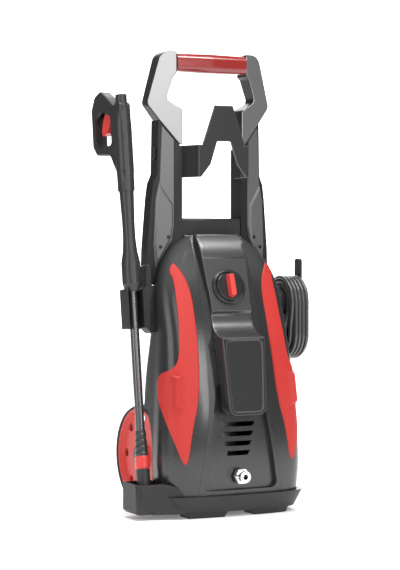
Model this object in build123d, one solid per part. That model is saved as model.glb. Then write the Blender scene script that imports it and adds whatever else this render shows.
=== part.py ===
from build123d import *
import os
from math import atan2, copysign, cos, degrees, hypot, pi, radians, sin, tan

# Upright electric pressure washer with a telescopic handle, a spray lance and a coiled power cord.
# All sizes are in millimetres. While modelling, X = 0 is the middle of the body, Y = 0 the plane
# of the handle (Y grows to the back) and Z = 0 the floor. "Left" is the side at negative X.

# Fits between pieces
GAP = 0.3
RUN_FIT = 0.05
WALL = 3.0

# Length of the prisms that cut right through the body
REACH = 220.0

# Body shell: its height and the shape of its outline, from bottom to top
BODY_BOTTOM = 42.0
BODY_TOP = 525.0
BODY_POWER = 4.0
BODY_TAPER = 0.22
OUTLINE_POINTS = 16
BODY_STATIONS = (
    # height, half width, front, back
    (BODY_BOTTOM, 154.0, -136.0, 66.0),
    (80.0, 158.0, -137.0, 69.0),
    (120.0, 158.0, -137.0, 70.0),
    (200.0, 153.0, -131.0, 68.0),
    (280.0, 148.0, -120.0, 58.0),
    (350.0, 142.0, -104.0, 44.0),
    (415.0, 138.0, -82.0, 40.0),
    (465.0, 123.0, -63.0, 39.0),
    (500.0, 98.0, -48.0, 38.0),
    (BODY_TOP, 60.0, -36.0, 34.0),
)
SEAM_LINE = (
    (54.0, 540.0), (57.0, 461.0), (60.0, 380.0), (63.0, 257.0), (66.0, 183.0), (77.0, 110.0), (90.0, 30.0),
)

# Vent field in the lower front
VENT_DEPTH = 9.0
VENT_LOW = 50.0
VENT_HIGH = 250.0
VENT_HALF_LOW = 80.0
VENT_HALF_HIGH = 46.0
SLOT_COUNT = 4
SLOT_TOP = 172.0
SLOT_PITCH = 18.0
SLOT_HEIGHT = 9.0
SLOT_HALF_TOP = 37.0
SLOT_HALF_STEP = 4.0
SLOT_SLANT = 7.0
SLOT_CORNER = 1.5
VENT_CORNER = 12.0

# Vent slots in the back
BACK_SLOT_COUNT = 6
BACK_SLOT_LOW = 300.0
BACK_SLOT_PITCH = 16.0
BACK_SLOT_LENGTH = 96.0
BACK_SLOT_HEIGHT = 6.0

# Red side panels, drawn in a plane that faces the front corner
PANEL_TURN = 50.0
PANEL_PROUD = 1.6
PANEL_OUTLINE = (
    (-23.0, 473.0), (-4.0, 451.0), (11.0, 419.0), (23.0, 377.0), (33.0, 331.0), (39.0, 285.0), (42.0, 244.0),
    (41.0, 203.0), (36.0, 158.0), (26.0, 102.0), (12.0, 131.0), (-3.0, 162.0), (-20.0, 193.0), (-34.0, 219.0),
    (-39.0, 247.0), (-31.0, 266.0), (-11.0, 275.0), (3.0, 286.0), (7.0, 306.0), (4.0, 341.0), (-1.0, 377.0),
    (-10.0, 414.0), (-23.0, 451.0), (-28.0, 465.0),
)
BUMP_LEFT = -4.0
BUMP_RIGHT = 11.0
BUMP_RIGHT_HIGH = 15.0
BUMP_LOW = 205.0
BUMP_HIGH = 268.0
BUMP_RISE = 1.5
BUMP_CORNER = 2.0

# Base tray with its feet, and the pocket that the lance stands in
BASE_HALF_WIDTH = 163.0
BASE_FRONT = -147.0
BASE_BACK = 78.0
BASE_DRAFT = 14.0
BASE_LIFT = 10.0
BASE_FLOOR = 4.0
BASE_WALL = 4.0
RIM_LEDGE = 6.0
RIM_DEPTH = 8.0
PUMP_RIB_X = 30.0
PUMP_RIB_WIDTH = 8.0
PUMP_RIB_LENGTH = 70.0
FOOT_INNER = 32.0
FOOT_OUTER = 104.0
FOOT_DEPTH = 56.0
FOOT_SLOPE = 8.0
POCKET_HALF_WIDTH = 30.0
POCKET_HALF_DEPTH = 36.0
POCKET_RIM = 66.0
POCKET_SHIFT = 4.0
POCKET_CHAMFER = 6.0
POCKET_CORNER = 10.0
POCKET_WALL = 4.0
WING_END = -112.0
WING_END_Y = -130.0
WING_END_DROP = 4.0
WING_BEND = 20.0
WING_BEND_DROP = 5.0

# Wheels on one axle
WHEEL_RADIUS = 100.0
WHEEL_WIDTH = 36.0
WHEEL_OUTER = 126.0
WHEEL_Y = 50.0
TYRE_DEPTH = 8.0
TYRE_ROUND = 5.0
RIM_DISH = 9.0
HUB_RADIUS = 24.0
SPOKE_COUNT = 8
SPOKE_HOLE = 8.5
SPOKE_RING = 73.0
AXLE_RADIUS = 6.0
WELL_CLEAR = 6.0
WELL_WALL = 3.0
AXLE_BOSS = 14.0
AXLE_BOSS_LENGTH = 18.0
AXLE_END = 5.0
RIM_INSET = 3.0
CAP_RADIUS = 19.0
CAP_HEIGHT = 5.0

# Console that leans over the front of the body
CONSOLE_TOP = 528.0
CONSOLE_BREAK = 482.0
CONSOLE_BREAK_Y = -69.0
CONSOLE_LIP = 384.0
CONSOLE_LIP_Y = -101.0
CONSOLE_SCOOP = 336.0
CONSOLE_SCOOP_Y = -147.0
CONSOLE_BOTTOM = 192.0
CONSOLE_BOTTOM_Y = -166.0
CONSOLE_HALF_TOP = 50.0
CONSOLE_HALF_LIP = 42.0
CONSOLE_HALF_SCOOP = 45.0
CONSOLE_HALF_BOTTOM = 38.0
CONSOLE_CORNER = 14.0
CONSOLE_TOP_CORNER = 8.0
CONSOLE_BEND = 60.0
CONSOLE_WAIST = 400.0
CONSOLE_CROWN = 25.0
CONSOLE_BACK = -20.0
CONSOLE_SPAN = 60.0
LIP_THICK = 6.0
LIP_UNDERCUT = 4.0
INSET_EDGE = 6.0
INSET_DEPTH = 1.5
CONSOLE_TILT = degrees(atan2(CONSOLE_BREAK_Y - CONSOLE_LIP_Y, CONSOLE_BREAK - CONSOLE_LIP))

# Switch on the console
KNOB_Z = 428.0
BEZEL_RADIUS = 34.5
BEZEL_HEIGHT = 6.0
KNOB_RADIUS = 27.0
KNOB_HEIGHT = 8.0
GRIP_LENGTH = 47.0
GRIP_WIDTH = 14.0
GRIP_HEIGHT = 12.0
GRIP_DRAFT = 4.0
SPINDLE_RADIUS = 4.0
SPINDLE_DEPTH = 8.0
SWITCH_BOX = 34.0
SWITCH_BOX_DEPTH = 26.0

# Front faces of handle and uprights slope back to the outside
SLOPE_RUN = 80.0
SLOPE_FALL = 19.0
LEG_Y = 5.0

# Uprights that carry the handle
UPRIGHT_INNER = 64.0
UPRIGHT_FRONT = -20.0
UPRIGHT_BACK = 24.0
JOINT_LOW = 692.0
JOINT_HIGH = 745.0
JOINT_HALF = 109.0
SLEEVE_Z = 632.0
SLEEVE_STEP = 4.0
SLEEVE_HALF = 115.0
UPRIGHT_HALF_MID = 123.0
UPRIGHT_MID_Z = 595.0
UPRIGHT_HALF_LOW = 131.0
UPRIGHT_LOW_Z = 500.0
UPRIGHT_FOOT = 432.0
FASCIA_INNER = 80.0
FASCIA_INSET = 7.0
FASCIA_THICK = 3.0
FASCIA_LOW = 462.0
FOLD_INNER = 584.0
FOLD_OUTER = 624.0
FOLD_RISE = 3.0

# Telescopic handle
HANDLE_TOP = 876.0
HANDLE_TOP_HALF = 106.0
HANDLE_KNEE_HALF = 133.0
HANDLE_KNEE_Z = 776.0
HANDLE_INNER_KNEE = 96.0
HANDLE_INNER_KNEE_Z = 785.0
HANDLE_BAR = 42.0
HANDLE_INNER_TOP = 79.0
HANDLE_WAIST_Z = 767.0
HANDLE_BACK = 18.0
LEG_WIDTH = 16.0
LEG_INNER = 84.0
LEG_DEPTH = 22.0
LEG_LOW = 532.0
HANDGRIP_HALF = 75.0
HANDGRIP_HEIGHT = 35.0
HANDGRIP_DEPTH = 42.0
HANDGRIP_NECK = 14.0
HANDGRIP_SWELL = 3.0
HANDLE_CORNERS = [22, 14, 4, 4, 8, 10, 12]
HANDLE_ROUND = 2.0
LATCH_Z = 681.0
LATCH_WIDTH = 11.0
LATCH_HEIGHT = 24.0
LATCH_PROUD = 5.0
LATCH_TRAVEL = 4.0
LATCH_ROUND = 2.0

# Hose hook and cross bar between the uprights
HOOK_REACH = -69.0
HOOK_THICK = 4.0
HOOK_LOW = 636.0
HOOK_SHOULDER = 697.0
HOOK_CREST = 772.0
HOOK_ARCH = 704.0
HOOK_FACE_HALF = 54.0
HOOK_BASE_HALF = 46.0
HOOK_CREST_HALF = 19.5
HOOK_MID_HALF = 29.0
HOOK_MID = 660.0
HOOK_ROOT_BACK = 2.0
BAR_LOW = 512.0
BAR_HIGH = 559.0
BAR_INSET = 2.0

# Spray lance, which leans back beside the body; stations run along it from the nozzle end
LANCE_X = -172.0
LANCE_Y = -78.0
LANCE_LEAN = 7.5
TIP_START = 5.0
TIP_END = 76.0
TIP_RADIUS = 13.0
TIP_END_RADIUS = 10.0
TIP_BORE = 3.0
RING_LENGTH = 24.0
RING_RADIUS = 13.6
NOZZLE_END = 147.0
NOZZLE_NECK = 9.5
NOZZLE_RIB = 1.2
NOZZLE_RIBS = 4
TUBE_RADIUS = 8.5
COLLAR_START = 408.0
COLLAR_END = 484.0
COLLAR_RADIUS = 18.0
EXTENSION_RADIUS = 14.0
EXTENSION_WAIST = 12.0
GUN_START = 598.0
GUN_TOP = 767.0
BARREL_RADIUS = 17.0
GUN_THICK = 25.0
GUN_ROUND = 4.0
VALVE_RADIUS = 9.0
TRIGGER_THICK = 14.0
TRIGGER_PIVOT = (34.0, 752.0)
TRIGGER_PIN = 2.5
HOSE_NOSE_RADIUS = 11.0
HOSE_NOSE_LENGTH = 16.0
HOSE_BORE = 5.0
GUN_TURN = 6.0

# Clip that holds the lance to the body
CLIP_LOW = 338.0
CLIP_HIGH = 412.7
CLIP_INNER = 15.0
CLIP_WALL = 4.0
CLIP_FRONT = -15.0
CLIP_BACK = 20.0
CLIP_LUG = 458.0
CLIP_GAP = 0.6
CLIP_FOOT = 22.0

# Water couplings
OUTLET_Z = 75.0
OUTLET_SEAT = -133.5
OUTLET_END = -154.0
NOSE_RADIUS = 11.0
OUTLET_BORE = 5.0
HEX_SIZE = 27.0
HEX_DEPTH = 8.0
INLET_RADIUS = 13.2
INLET_BORE = 8.0
INLET_SEAT = 70.6
INLET_END = 94.0
INLET_COLLAR = 17.0
COLLAR_THICK = 6.0
BORE_DEPTH = 40.0

# Motor and pump inside
MOTOR_Y = -25.0
MOTOR_RADIUS = 58.0
MOTOR_LOW = 190.0
MOTOR_HIGH = 365.0
MOTOR_GROOVES = 6
MOTOR_GROOVE = 3.0
SHAFT_RADIUS = 8.0
SHAFT_STUB = 30.0
FAN_RADIUS = 50.0
FAN_HEIGHT = 12.0
FAN_BLADES = 7
FAN_BOSS = 6.0
PUMP_RADIUS = 46.0
PUMP_LOW = 58.0
PUMP_FLANGE = 10.0

# Power cord wound on two hooks at the right side
CORD_DIAMETER = 8.0
CORD_PITCH = 8.2
CORD_LAYERS = 3
CORD_TURNS = 5
COIL_Y = 2.0
COIL_LOW = 333.0
COIL_HIGH = 397.0
COIL_INNER_X = 161.0
PEG_RADIUS = 26.0
TAB_THICK = 5.0
TAB_WIDTH = 21.0
TAB_TOP = 480.0
TAB_LOW = 288.0
TAB_LOW_TOP = 311.0
TAB_CORNER = 6.0
SPINDLE = 5.0
SPINDLE_LENGTH = 12.0
BRACKET_HALF = 28.0
BRACKET_LOW = 302.0
BRACKET_HIGH = 428.0
BRACKET_FACE = 147.0
BRACKET_ROOT = 110.0
BRACKET_CORNER = 10.0
GLAND_Z = 226.0
GLAND_X = 135.0
GLAND_RADIUS = 8.5
GLAND_LENGTH = 16.0
CORD_SIDE_GAP = 1.5
TAIL_ENTRY = 6.0
TAIL_JOIN = 40.0
LEAD_STEP = 12.0
LEAD_DROP = 19.0
PLUG_Y = 74.0
PLUG_LOW = 293.0
PLUG_HIGH = 341.0
PLUG_HALF_WIDTH = 17.0
PLUG_HALF_DEPTH = 13.0
PLUG_STRAIGHT = 20.0
PIN_RADIUS = 2.4
PIN_LENGTH = 19.0
PIN_SPACING = 19.0

# Values worked out from the sizes above
WHEEL_Z = WHEEL_RADIUS
WHEEL_INNER = WHEEL_OUTER - WHEEL_WIDTH
WELL_INNER = WHEEL_INNER - WELL_WALL
WELL_RADIUS = WHEEL_RADIUS + WELL_CLEAR
HUB_RIM = WHEEL_RADIUS - TYRE_DEPTH
COIL_OUTER_X = COIL_INNER_X + CORD_TURNS * CORD_PITCH
COIL_BORE = PEG_RADIUS + GAP
COIL_RADIUS = COIL_BORE + CORD_LAYERS * CORD_PITCH
FIRST_STRAND_X = COIL_INNER_X + CORD_PITCH / 2
LAST_STRAND_X = COIL_OUTER_X - CORD_PITCH / 2
PLUG_X = COIL_OUTER_X - 5 * CORD_PITCH / 2
INNER_STRAND_Y = COIL_Y - COIL_BORE - CORD_PITCH / 2
OUTER_STRAND_Y = COIL_Y + COIL_RADIUS - CORD_PITCH / 2
LEG_OUTER = LEG_INNER + LEG_WIDTH
RING_START = TIP_END + GAP
RING_END = RING_START + RING_LENGTH
LANCE_FOOT_Z = BASE_LIFT + BASE_FLOOR + GAP + TIP_RADIUS * sin(radians(LANCE_LEAN))
POCKET_Y = LANCE_Y + POCKET_SHIFT
LANCE_FRAME = Pos(LANCE_X, LANCE_Y, LANCE_FOOT_Z) * Rot(-LANCE_LEAN, 0, 0)
GUN_FRAME = LANCE_FRAME * Rot(0, 0, GUN_TURN)
KNOB_Y = CONSOLE_BREAK_Y - (CONSOLE_BREAK - KNOB_Z) * tan(radians(CONSOLE_TILT))
KNOB_FRAME = Pos(0, KNOB_Y, KNOB_Z) * Rot(90 - CONSOLE_TILT, 0, 0)
SLOPE_ANGLE = atan2(SLOPE_FALL, SLOPE_RUN)
SLOPE_PLANE = Plane(
    origin=(UPRIGHT_INNER, UPRIGHT_FRONT, 0),
    x_dir=(cos(SLOPE_ANGLE), sin(SLOPE_ANGLE), 0),
    z_dir=(sin(SLOPE_ANGLE), -cos(SLOPE_ANGLE), 0),
)
PANEL_PLANE = Plane(
    origin=(0, 0, 0),
    x_dir=(cos(radians(PANEL_TURN)), -sin(radians(PANEL_TURN)), 0),
    z_dir=(-sin(radians(PANEL_TURN)), -cos(radians(PANEL_TURN)), 0),
)


def loop(*points, radius=None):
    """Face inside a closed polygon; radius rounds all corners, or each corner when it is a list."""
    if radius is None:
        return make_face(Polyline(*points, close=True))
    return make_face(FilletPolyline(*points, radius=radius, close=True))


def along_x(face, start, end):
    """Prism of a face drawn in (Y, Z), from X = start to X = end."""
    return extrude(Plane.YZ.offset(start) * face, amount=end - start)


def along_y(face, start, end):
    """Prism of a face drawn in (X, Z), from Y = start to Y = end."""
    return extrude(Plane.XZ.offset(-end) * face, amount=end - start)


def along_z(face, start, end):
    """Prism of a face drawn in (X, Y), from Z = start to Z = end."""
    return extrude(Plane.XY.offset(start) * face, amount=end - start)


def rod_x(radius, start, end, y, z):
    """Round bar along X."""
    return along_x(Pos(y, z) * Circle(radius), start, end)


def flip(shape):
    """Mirror image on the other side of the machine."""
    return mirror(shape, about=Plane.YZ)


def both(points):
    """Symmetric outline: the given right-hand points, then their mirror images in reverse order."""
    return list(points) + [(-x, z) for x, z in reversed(points)]


def turned(profile, frame=None):
    """Solid turned about the Z axis of a frame from (radius, height) points."""
    solid = revolve(Plane.XZ * loop(*profile), Axis.Z)
    return solid if frame is None else frame * solid


def outline_at(height, half_width, front, back):
    """Rounded outline of the body at one height, a little narrower at its back."""
    middle = (front + back) / 2
    half_depth = (back - front) / 2
    points = []
    for step in range(OUTLINE_POINTS):
        turn = pi / 2 + 2 * pi * step / OUTLINE_POINTS
        across = copysign(abs(cos(turn)) ** (2 / BODY_POWER), cos(turn))
        along = copysign(abs(sin(turn)) ** (2 / BODY_POWER), sin(turn))
        narrowing = 1 - BODY_TAPER * (1 + along) / 2
        points.append((half_width * across * narrowing, middle + half_depth * along))
    return Plane.XY.offset(height) * make_face(Spline(*points, periodic=True))


def envelope(grow, extend=0.0):
    """Body of the machine as one solid, grown outward by an amount and extended below its bottom edge."""
    sections = []
    for height, half_width, front, back in BODY_STATIONS:
        level = height
        if height == BODY_BOTTOM:
            level = height - extend
        if height == BODY_TOP:
            level = height + grow
        sections.append(outline_at(level, half_width + grow, front - grow, back + grow))
    return loft(sections)


BODY = envelope(0)
BODY_INSIDE = envelope(-WALL, extend=1)
BODY_AROUND = envelope(GAP, extend=GAP)


def seam_prism(grow):
    """Space of the front cover, between its two seams."""
    right = [(x + grow, z) for x, z in SEAM_LINE]
    edge = Spline(*right)
    left = Spline(*[(-x, z) for x, z in right])
    top = Line(right[0], (-right[0][0], right[0][1]))
    low = Line(right[-1], (-right[-1][0], right[-1][1]))
    depth = loop((-REACH, 0), (-75, 0), (-75, 300), (0, 480), (0, 560), (-REACH, 560))
    return along_y(make_face([edge, top, left, low]), -REACH, 0) & along_x(depth, -REACH, REACH)


def drawn_in(points, amount):
    """Points of a clockwise outline, each moved inward across the line through its neighbours."""
    moved = []
    for index, (u, v) in enumerate(points):
        before = points[index - 1]
        after = points[(index + 1) % len(points)]
        run, rise = after[0] - before[0], after[1] - before[1]
        length = hypot(run, rise)
        moved.append((u + amount * rise / length, v - amount * run / length))
    return moved


def panel_prism(draw_in):
    """Space of the left red panel, drawn in by an amount all round."""
    face = make_face(Spline(*drawn_in(PANEL_OUTLINE, draw_in), periodic=True))
    return extrude(PANEL_PLANE * face, amount=REACH)


def well(radius, inner):
    """Round space around the right wheel, from an inner wall outward."""
    return rod_x(radius, inner, REACH, WHEEL_Y, WHEEL_Z)


def vent_prism(grow):
    """Space in front of and behind the sunken vent field."""
    right = [(VENT_HALF_HIGH + grow, VENT_HIGH + grow), (VENT_HALF_LOW + grow, VENT_LOW - grow)]
    return along_y(loop(*both(right), radius=VENT_CORNER + grow), -REACH, 0)


def make_front_cover():
    """Front of the shell with the sunken vent field, its slots and the holes for outlet and switch."""
    behind = vent_prism(WALL) - envelope(-VENT_DEPTH - WALL, extend=2)
    sunken = vent_prism(0) - envelope(-VENT_DEPTH, extend=2)
    cover = ((BODY - sunken) - (BODY_INSIDE - behind)) & seam_prism(0)
    for row in range(SLOT_COUNT):
        half = SLOT_HALF_TOP - row * SLOT_HALF_STEP
        low = SLOT_TOP - row * SLOT_PITCH - SLOT_HEIGHT / 2
        high = low + SLOT_HEIGHT
        slot = loop((-half, low), (half - SLOT_SLANT, low), (half, high), (-half, high), radius=SLOT_CORNER)
        cover = cover - along_y(slot, -REACH, MOTOR_Y)
    outlet_hole = along_y(Pos(0, OUTLET_Z) * Circle(NOSE_RADIUS + GAP), -REACH, MOTOR_Y)
    switch_hole = KNOB_FRAME * Pos(0, 0, -20) * Box(SWITCH_BOX + 2, SWITCH_BOX + 2, 60)
    return cover - outlet_hole - switch_hole


def make_rear_housing():
    """Sides and back of the shell with the wheel wells, the axle bosses and the cut-outs of the panels."""
    boss = rod_x(AXLE_BOSS, WELL_INNER - AXLE_BOSS_LENGTH, WELL_INNER, WHEEL_Y, WHEEL_Z)
    space = well(WELL_RADIUS, WELL_INNER)
    liner = well(WELL_RADIUS + WELL_WALL, WELL_INNER - WELL_WALL) + boss
    panel = panel_prism(0)
    housing = (BODY - space - flip(space)) - (BODY_INSIDE - liner - flip(liner))
    housing = housing - seam_prism(GAP) - panel - flip(panel)
    housing = housing - rod_x(AXLE_RADIUS + RUN_FIT, -REACH, REACH, WHEEL_Y, WHEEL_Z)
    housing = housing - along_y(Pos(0, OUTLET_Z) * Circle(INLET_RADIUS + GAP), 0, REACH)
    for row in range(BACK_SLOT_COUNT):
        height = BACK_SLOT_LOW + row * BACK_SLOT_PITCH
        slot = Pos(0, height) * SlotOverall(BACK_SLOT_LENGTH, BACK_SLOT_HEIGHT)
        housing = housing - along_y(slot, 0, REACH)
    return housing - gland_frame() * Cylinder(GLAND_RADIUS + GAP, 60)


def make_side_panel():
    """Left red panel, a little proud of the shell, with a moulded rib on its wide part."""
    inside = envelope(-WALL + 0.5)
    skin = envelope(PANEL_PROUD) - inside
    outline = loop((BUMP_LEFT, BUMP_LOW), (BUMP_RIGHT, BUMP_LOW), (BUMP_RIGHT_HIGH, BUMP_HIGH),
                   (BUMP_LEFT, BUMP_HIGH), radius=BUMP_CORNER)
    bump = extrude(PANEL_PLANE * outline, amount=REACH)
    rib = (envelope(PANEL_PROUD + BUMP_RISE) - inside) & bump
    return (skin & panel_prism(GAP)) + rib


def tray_outline(height, inset):
    """Outline of the tray at one height, drawn in by an amount."""
    return outline_at(height, BASE_HALF_WIDTH - inset, BASE_FRONT + inset, BASE_BACK - inset)


def make_foot():
    """Right front foot under the tray."""
    top = BASE_LIFT + 2
    face = loop((FOOT_INNER, 0), (FOOT_OUTER, 0), (FOOT_OUTER + FOOT_SLOPE, top),
                (FOOT_INNER - FOOT_SLOPE, top))
    plan = extrude(tray_outline(-1, BASE_DRAFT + 2), amount=BASE_LIFT + 4)
    return along_y(face, BASE_FRONT, BASE_FRONT + FOOT_DEPTH) & plan


def make_pocket():
    """Pocket that the lance stands in, with a wing along the front corner of the tray."""
    plan = RectangleRounded(2 * POCKET_HALF_WIDTH, 2 * POCKET_HALF_DEPTH, POCKET_CORNER)
    plan = Pos(LANCE_X, POCKET_Y) * plan
    block = along_z(plan, BASE_LIFT, POCKET_RIM)
    block = chamfer(block.faces().sort_by(Axis.Z)[0].edges(), POCKET_CHAMFER)
    wing_y = POCKET_Y - POCKET_HALF_DEPTH
    wing_plan = loop((LANCE_X, wing_y), (WING_END, WING_END_Y), (WING_END, WING_END_Y + POCKET_WALL),
                     (LANCE_X, wing_y + POCKET_WALL))
    start = (LANCE_X + POCKET_HALF_WIDTH - POCKET_CORNER, POCKET_RIM)
    bend = (start[0] + WING_BEND, POCKET_RIM - WING_BEND_DROP)
    end = (WING_END, BODY_BOTTOM - WING_END_DROP)
    wing_front = make_face([
        Line((LANCE_X, BASE_LIFT), (LANCE_X, POCKET_RIM)),
        Line((LANCE_X, POCKET_RIM), start),
        Spline(start, bend, end),
        Line(end, (WING_END, BASE_LIFT)),
        Line((WING_END, BASE_LIFT), (LANCE_X, BASE_LIFT)),
    ])
    wing = along_z(wing_plan, BASE_LIFT, POCKET_RIM) & along_y(wing_front, -REACH, 0)
    hollow = along_z(offset(plan, -POCKET_WALL), BASE_LIFT + BASE_FLOOR, POCKET_RIM + 1)
    tray_around = loft([tray_outline(BASE_LIFT - GAP, BASE_DRAFT - GAP), tray_outline(BODY_BOTTOM, -GAP)])
    return (block - hollow) + (wing - hollow) - tray_around - BODY_AROUND


def make_base():
    """Tray under the body with two front feet, wheel cut-outs and the ribs that carry the pump."""
    rim = BODY_BOTTOM - GAP
    outer = loft([tray_outline(BASE_LIFT, BASE_DRAFT), tray_outline(rim, 0)])
    floor_outline = tray_outline(BASE_LIFT + BASE_FLOOR, BASE_DRAFT + BASE_WALL)
    cavity = loft([floor_outline, tray_outline(rim - RIM_LEDGE, RIM_LEDGE)])
    throat = along_z(tray_outline(0, 3 * RIM_LEDGE), rim - RIM_DEPTH, rim + 2)
    foot = make_foot()
    tray = outer - cavity - throat + foot + flip(foot)
    for side in (-1, 1):
        rib = Box(PUMP_RIB_WIDTH, PUMP_RIB_LENGTH, PUMP_LOW - BASE_LIFT)
        tray = tray + Pos(side * PUMP_RIB_X, MOTOR_Y, (BASE_LIFT + PUMP_LOW) / 2) * rib
    space = well(WELL_RADIUS + WELL_WALL + GAP, WELL_INNER - WELL_WALL - GAP)
    return tray - space - flip(space)


def console_side(inset):
    """Side face of the console, with its outer wall drawn in by an amount."""
    top, bottom = CONSOLE_TOP - inset, CONSOLE_BOTTOM + inset
    crown_y = CONSOLE_BREAK_Y + CONSOLE_CROWN + inset
    break_y, lip_y = CONSOLE_BREAK_Y + inset, CONSOLE_LIP_Y + inset
    scoop_y, foot_y = CONSOLE_SCOOP_Y + inset, CONSOLE_BOTTOM_Y + inset
    scoop_z, under_z = CONSOLE_SCOOP - inset, CONSOLE_LIP - LIP_THICK - inset
    under_y = lip_y + LIP_UNDERCUT
    return make_face([
        Line((CONSOLE_BACK, top), (crown_y, top)),
        Spline((crown_y, top), (crown_y - 14, top - 18), (break_y, CONSOLE_BREAK)),
        Line((break_y, CONSOLE_BREAK), (lip_y, CONSOLE_LIP)),
        Line((lip_y, CONSOLE_LIP), (under_y, under_z)),
        Spline((under_y, under_z), (under_y - 14, under_z - 28), (scoop_y, scoop_z)),
        Line((scoop_y, scoop_z), (foot_y, bottom)),
        Line((foot_y, bottom), (CONSOLE_BACK, bottom)),
        Line((CONSOLE_BACK, bottom), (CONSOLE_BACK, top)),
    ])


def make_console():
    """Leaning control panel: a hollow moulding with a raised switch field and an inset lower field."""
    right = [(CONSOLE_HALF_TOP, CONSOLE_TOP + 1), (CONSOLE_HALF_LIP, CONSOLE_WAIST),
             (CONSOLE_HALF_SCOOP, CONSOLE_SCOOP), (CONSOLE_HALF_BOTTOM, CONSOLE_BOTTOM)]
    corners = [CONSOLE_TOP_CORNER, CONSOLE_BEND, CONSOLE_BEND, CONSOLE_CORNER]
    front_face = loop(*both(right), radius=corners + corners[::-1])
    block = along_x(console_side(0), -CONSOLE_SPAN, CONSOLE_SPAN) & along_y(front_face, -REACH, 0)
    hollow_front = offset(front_face, -WALL)
    hollow = along_x(console_side(WALL), -CONSOLE_SPAN, CONSOLE_SPAN)
    hollow = hollow & along_y(hollow_front, -REACH, -WALL)
    inset_side = loop((-REACH, CONSOLE_SCOOP), (CONSOLE_SCOOP_Y + INSET_DEPTH, CONSOLE_SCOOP),
                      (CONSOLE_BOTTOM_Y + INSET_DEPTH, CONSOLE_BOTTOM), (-REACH, CONSOLE_BOTTOM))
    inset_right = [(CONSOLE_HALF_SCOOP - INSET_EDGE, CONSOLE_SCOOP - INSET_EDGE),
                   (CONSOLE_HALF_BOTTOM - INSET_EDGE, CONSOLE_BOTTOM + INSET_EDGE)]
    inset_face = loop(*both(inset_right), radius=CONSOLE_CORNER - INSET_EDGE / 2)
    inset = along_x(inset_side, -CONSOLE_SPAN, CONSOLE_SPAN) & along_y(inset_face, -REACH, 0)
    spindle_hole = KNOB_FRAME * Cylinder(SPINDLE_RADIUS + RUN_FIT, 30)
    return block - hollow - BODY_AROUND - inset - spindle_hole


def make_switch():
    """Round bezel, turning knob with its red grip, and the switch behind the console."""
    bezel = turned([(KNOB_RADIUS + GAP, 0), (BEZEL_RADIUS, 0), (BEZEL_RADIUS, BEZEL_HEIGHT - 3),
                    (BEZEL_RADIUS - 3, BEZEL_HEIGHT), (KNOB_RADIUS + GAP + 1.5, BEZEL_HEIGHT),
                    (KNOB_RADIUS + GAP, BEZEL_HEIGHT - 1.5)], KNOB_FRAME)
    spindle_end = -WALL - SPINDLE_DEPTH
    knob = turned([(0, spindle_end), (SPINDLE_RADIUS, spindle_end), (SPINDLE_RADIUS, GAP), (KNOB_RADIUS, GAP),
                   (KNOB_RADIUS, KNOB_HEIGHT - 2), (KNOB_RADIUS - 2, KNOB_HEIGHT), (0, KNOB_HEIGHT)],
                  KNOB_FRAME)
    grip_plan = SlotOverall(GRIP_LENGTH, GRIP_WIDTH, rotation=90)
    grip_top = SlotOverall(GRIP_LENGTH - GRIP_DRAFT, GRIP_WIDTH - GRIP_DRAFT, rotation=90)
    grip_end = KNOB_HEIGHT + GRIP_HEIGHT
    grip = loft([Plane.XY.offset(KNOB_HEIGHT) * grip_plan, Plane.XY.offset(grip_end) * grip_top])
    box_middle = -WALL - SWITCH_BOX_DEPTH / 2
    box = Pos(0, 0, box_middle) * Box(SWITCH_BOX, SWITCH_BOX, SWITCH_BOX_DEPTH)
    box = fillet(box.edges().filter_by(Axis.Z), 3) - Pos(0, 0, -WALL) * Cylinder(SPINDLE_RADIUS + RUN_FIT, 18)
    return bezel, knob, KNOB_FRAME * grip, KNOB_FRAME * box


def before_slope(front):
    """Space before the sloped faces of the right side; front is where the slope starts."""
    plan = loop((UPRIGHT_INNER, front), (UPRIGHT_INNER + SLOPE_RUN, front + SLOPE_FALL),
                (UPRIGHT_INNER + SLOPE_RUN, front - 40), (UPRIGHT_INNER, front - 40))
    return along_z(plan, UPRIGHT_FOOT - 20, HANDLE_TOP + 20)


def upright_outline(shrink):
    """Right upright seen from the front, with its slanted top; shrink draws in the top for clearance."""
    return [
        (UPRIGHT_INNER, JOINT_LOW - shrink),
        (JOINT_HALF, JOINT_HIGH - shrink),
        (SLEEVE_HALF - SLEEVE_STEP, SLEEVE_Z + 10),
        (SLEEVE_HALF + SLEEVE_STEP, SLEEVE_Z - 8),
        (UPRIGHT_HALF_MID, UPRIGHT_MID_Z),
        (UPRIGHT_HALF_LOW, UPRIGHT_LOW_Z),
        (UPRIGHT_HALF_LOW + 2, UPRIGHT_FOOT),
        (UPRIGHT_INNER + 30, UPRIGHT_FOOT),
        (UPRIGHT_INNER, UPRIGHT_LOW_Z),
    ]


def leg_middle():
    """Middle of the handle leg in plan."""
    return LEG_INNER + LEG_WIDTH / 2, LEG_Y


def make_upright():
    """Right upright: a column that stands on the dome, with the channel for the handle leg."""
    column = along_y(loop(*upright_outline(GAP + 0.1)), UPRIGHT_FRONT, UPRIGHT_BACK)
    rim = column.edges().filter_by(lambda e: abs(e.center().Y - UPRIGHT_BACK) < 0.1)
    column = fillet(rim, 3)
    column = column - BODY_AROUND - before_slope(UPRIGHT_FRONT)
    x, y = leg_middle()
    leg_plan = Pos(x, y) * Rectangle(LEG_WIDTH + 2 * GAP, LEG_DEPTH + 2 * GAP)
    channel = along_z(leg_plan, LEG_LOW - 4, JOINT_HIGH + 4)
    pocket = Pos(LEG_OUTER + 12 + GAP, y, LATCH_Z) * Box(24, LATCH_WIDTH + 2 * GAP, LATCH_HEIGHT + 2 * GAP)
    return column - channel - pocket


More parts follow.
